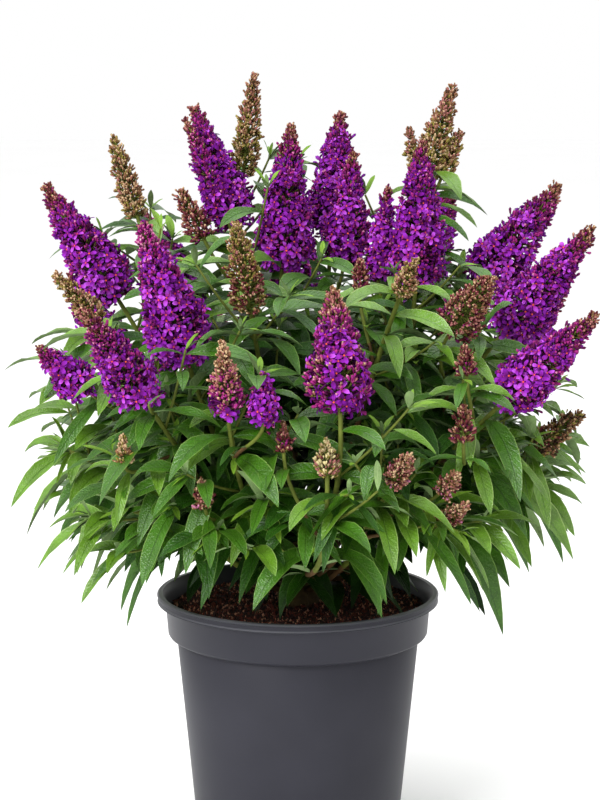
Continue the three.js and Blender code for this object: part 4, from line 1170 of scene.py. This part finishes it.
def open_cluster(centre, out):
    """A floret or two, and round their tubes the buds that have yet to open."""
    facing = unit(out + 0.34 * random.normal(size=3))
    florets.append((*centre, *facing, random.uniform(0.92, 1.2), random.choice(3, p=(0.4, 0.4, 0.2))))
    if random.random() < SECOND_FLORET:
        shift = SECOND_STEP * unit(np.cross(out, random.normal(size=3)))
        facing = unit(facing + 0.3 * random.normal(size=3) + shift * 0.07)
        centre_two = centre + shift - out * 1.4
        florets.append((*centre_two, *facing, random.uniform(0.82, 1.08), random.integers(3)))
    for _ in range(LATE_BUDS):
        aim = unit(out + FAN * random.normal(size=3))
        start = centre - out * random.uniform(6, 9.5) + 3.0 * random.normal(size=3)
        long = random.uniform(5.5, 7.5)
        add_bud(start, aim, long, 1.35, pick("plum violet magenta"), pick("maroon plum olive"))


def bud_cluster(spike, at, centre, out):
    """A fan of buds, longer where they are about to open."""
    ripe = spike["open"] > 0
    share = max(0, (at - spike["open"]) / (1 - spike["open"]))
    long = between(6.8, 3.8, share) if ripe else between(6.0, 4.0, at)
    wide = between(1.25, 0.95, share) if ripe else between(1.15, 0.9, at)
    heart = centre - out * long * 0.7
    for _ in range(FULL_CLUSTER if share < 0.1 or not ripe else SMALL_CLUSTER):
        aim = unit(out + FAN * random.normal(size=3) + (0.65 if ripe else 0.8) * spike["way"])
        start = heart + 0.9 * random.normal(size=3)
        size = random.uniform(0.75, 1.2)
        calyx = pick(CALYX_TINTS.get(spike["buds"], "maroon dark olive"))
        add_bud(start, aim, long * size, wide * size, pick(bud_band(spike, at)), calyx)


def add_cluster(spike, at, around, radius):
    """One cluster at the end of its stalk, which leaves the stem further down."""
    way = spike["way"]
    side = frames_facing(way[None], np.array([around]))[0][0]
    tilt = math.radians(between(84, 30, at**1.3) + 8 * random.normal())
    out = side * math.sin(tilt) + way * math.cos(tilt)
    most = RAGGED_OPEN if spike["buds"] == "rose" else MOST_OPEN
    is_open = random.random() < min(most, (1.22 * spike["open"] - at) / max(0.01, spike["open"]))
    reach = max(1.2, radius - (PETAL_REACH if is_open else BUD_REACH) + 1.1 * random.normal())
    centre = spike["base"] + way * spike["long"] * at + side * reach
    stalks.append((centre - out * reach / math.sin(tilt), centre - out, int(is_open)))
    if is_open:
        open_cluster(centre, out)
    else:
        bud_cluster(spike, at, centre, out)


def bloom(spike):
    """The whorls of a spike, from its foot to its tip."""
    at = FIRST_WHORL
    turned = random.uniform(0, 6)
    while at < 0.99:
        radius = spike_radius(spike, at)
        if not spike["open"]:
            room, steps = YOUNG_CLUSTER_ROOM, (YOUNG_WHORL_STEP, BUD_WHORL_TIP_STEP)
        elif at > 0.9 * spike["open"]:
            room, steps = BUD_CLUSTER_ROOM, (BUD_WHORL_STEP, BUD_WHORL_TIP_STEP)
        else:
            room, steps = CLUSTER_ROOM, (WHORL_STEP, WHORL_TIP_STEP)
        count = max(4, round(2 * math.pi * radius / room))
        for number in range(count):
            around = 2 * math.pi * number / count + turned + 0.15 * random.normal()
            add_cluster(spike, float(np.clip(at + 0.01 * random.normal(), 0, 0.99)), around, radius)
        at += between(*steps, at) / spike["long"]
        turned += WHORL_TURN


for spike in spikes:
    bloom(spike)

# A petal from the throat outwards: base, middle and end rows, a little cupped and bent back.
PETAL = np.array([
    (0.7, -0.5, 0.0), (0.7, 0.5, 0.0), (2.9, -1.5, 0.45), (2.9, 0.0, -0.15), (2.9, 1.5, 0.45),
    (4.9, -1.25, 0.1), (6.0, 0.0, -0.6), (4.9, 1.25, 0.1),
])
PETAL_FACES = [(0, 3, 1), (0, 2, 3), (1, 3, 4), (2, 5, 6, 3), (3, 6, 7, 4)]
PETALS = 4
PETAL_LONG = PETAL[:, 0].max()
THROAT_LONG = 7.0
EYE_TINT, TUBE_TINT = 3, 4

floret_points, floret_faces = [], []
for petal in range(PETALS):
    turn = 2 * math.pi * petal / PETALS
    cos, sin = math.cos(turn), math.sin(turn)
    floret_faces += [tuple(corner + len(PETAL) * petal for corner in face) for face in PETAL_FACES]
    floret_points.append(PETAL @ np.array([(cos, sin, 0), (-sin, cos, 0), (0, 0, 1)]))
start = PETALS * len(PETAL)
square = np.array([(1, 1, 0), (-1, 1, 0), (-1, -1, 0), (1, -1, 0)]) * 0.55
floret_points += [square + (0, 0, 0.12), square * 1.1 + (0, 0, -0.1), square * 0.7 + (0, 0, -THROAT_LONG)]
floret_faces.append(tuple(start + corner for corner in range(4)))
for corner in range(4):
    after = (corner + 1) % 4
    floret_faces.append((start + 4 + after, start + 4 + corner, start + 8 + corner, start + 8 + after))
floret_parts = np.array([[0] * PETALS * len(PETAL_FACES) + [EYE_TINT] + [TUBE_TINT] * 4])
floret_map = [(0.5, out / PETAL_LONG) for out in PETAL[:, 0]] * PETALS + [(0.5, 0)] * 12

table = np.array(florets)
blossom = np.concatenate(floret_points)[None] * table[:, 6, None, None]
blossom = set_out(blossom, table[:, 0:3], table[:, 3:6], random.uniform(0, 6, len(table)))


def petal_material(name, throat_color, color):
    """A petal that is deeper and redder towards the throat, over its own map."""
    material = new_material(name, color, 0.7, 500, 0.15, shine=0.1)
    tree = material.node_tree
    outwards = add_node(tree, "SeparateXYZ", {0: own_map(tree)}).outputs["Y"]
    fade = stretched(tree, outwards, 0.2, 0.8, 0.0, 1.0)
    shaded = mixed(tree, fade, throat_color, tree.nodes["mottle"].outputs["Color"])
    feed(tree, tree.nodes["Principled BSDF"].inputs["Base Color"], shaded)
    return material


PETAL_MATERIALS = [
    petal_material("bright violet petal", paint(138, 22, 136), paint(174, 76, 206)),
    petal_material("violet petal", paint(108, 9, 110), paint(140, 38, 174)),
    petal_material("deep violet petal", paint(80, 4, 82), paint(110, 16, 136)),
    new_material("orange eye", paint(216, 84, 52), 0.7, 500, 0.15, shine=0.1),
    new_material("floret tube", paint(84, 12, 84), 0.7, 500, 0.2, shine=0.1),
]
floret_tints = np.where(floret_parts == 0, table[:, 7:8].astype(int), floret_parts)
join_copies("florets", blossom, floret_faces, floret_tints, PETAL_MATERIALS, "foliage", FOLIAGE_NODES,
            floret_map)

table = np.array(buds)
aim = table[:, 3:6]
side, over = frames_facing(aim, random.uniform(0, 6, len(table)))
long, wide = table[:, 6:7], table[:, 7:8]
rings = []
for share, swell in BUD_RINGS:
    for step in range(BUD_SIDES):
        around = 2 * math.pi * step / BUD_SIDES
        ring = side * math.cos(around) + over * math.sin(around)
        rings.append(table[:, 0:3] + aim * long * share + ring * wide * swell)
bud_points = np.stack([table[:, 0:3], *rings, table[:, 0:3] + aim * long], axis=1)
pairs = [(k, (k + 1) % BUD_SIDES) for k in range(BUD_SIDES)]
low, high = 1, 1 + BUD_SIDES
bud_faces = [(0, low + b, low + a) for a, b in pairs]
bud_faces += [(low + a, low + b, high + b, high + a) for a, b in pairs]
bud_faces += [(high + a, high + b, high + BUD_SIDES) for a, b in pairs]
bud_tints = np.repeat(table[:, 8:11], BUD_SIDES, axis=1).astype(int)
BUD_MATERIALS = [
    new_material(f"{tint} bud", color, 0.7, 500, 0.2, shine=0.15) for tint, color in BUD_COLORS.items()
]
join_copies("buds", bud_points, bud_faces, bud_tints, BUD_MATERIALS, "foliage", FOLIAGE_NODES)

tubes = []
stalk_materials = [
    stem_materials[1],
    new_material("plum stalk", paint(74, 24, 52), 0.7, 300, 0.2, shine=0.2),
]
for start, end, _ in stalks:
    way = unit((end - start)[None])
    tubes.append(tube_points(np.array([start, end]), np.repeat(way, 2, axis=0), [0.7, 0.5], 20, 3))
faces = tube_faces(2, 3)
stalk_tints = np.array([stalk[2] for stalk in stalks])[:, None]
join_copies("flower_stalks", np.array(tubes), faces, stalk_tints, stalk_materials, "foliage",
            FOLIAGE_NODES)
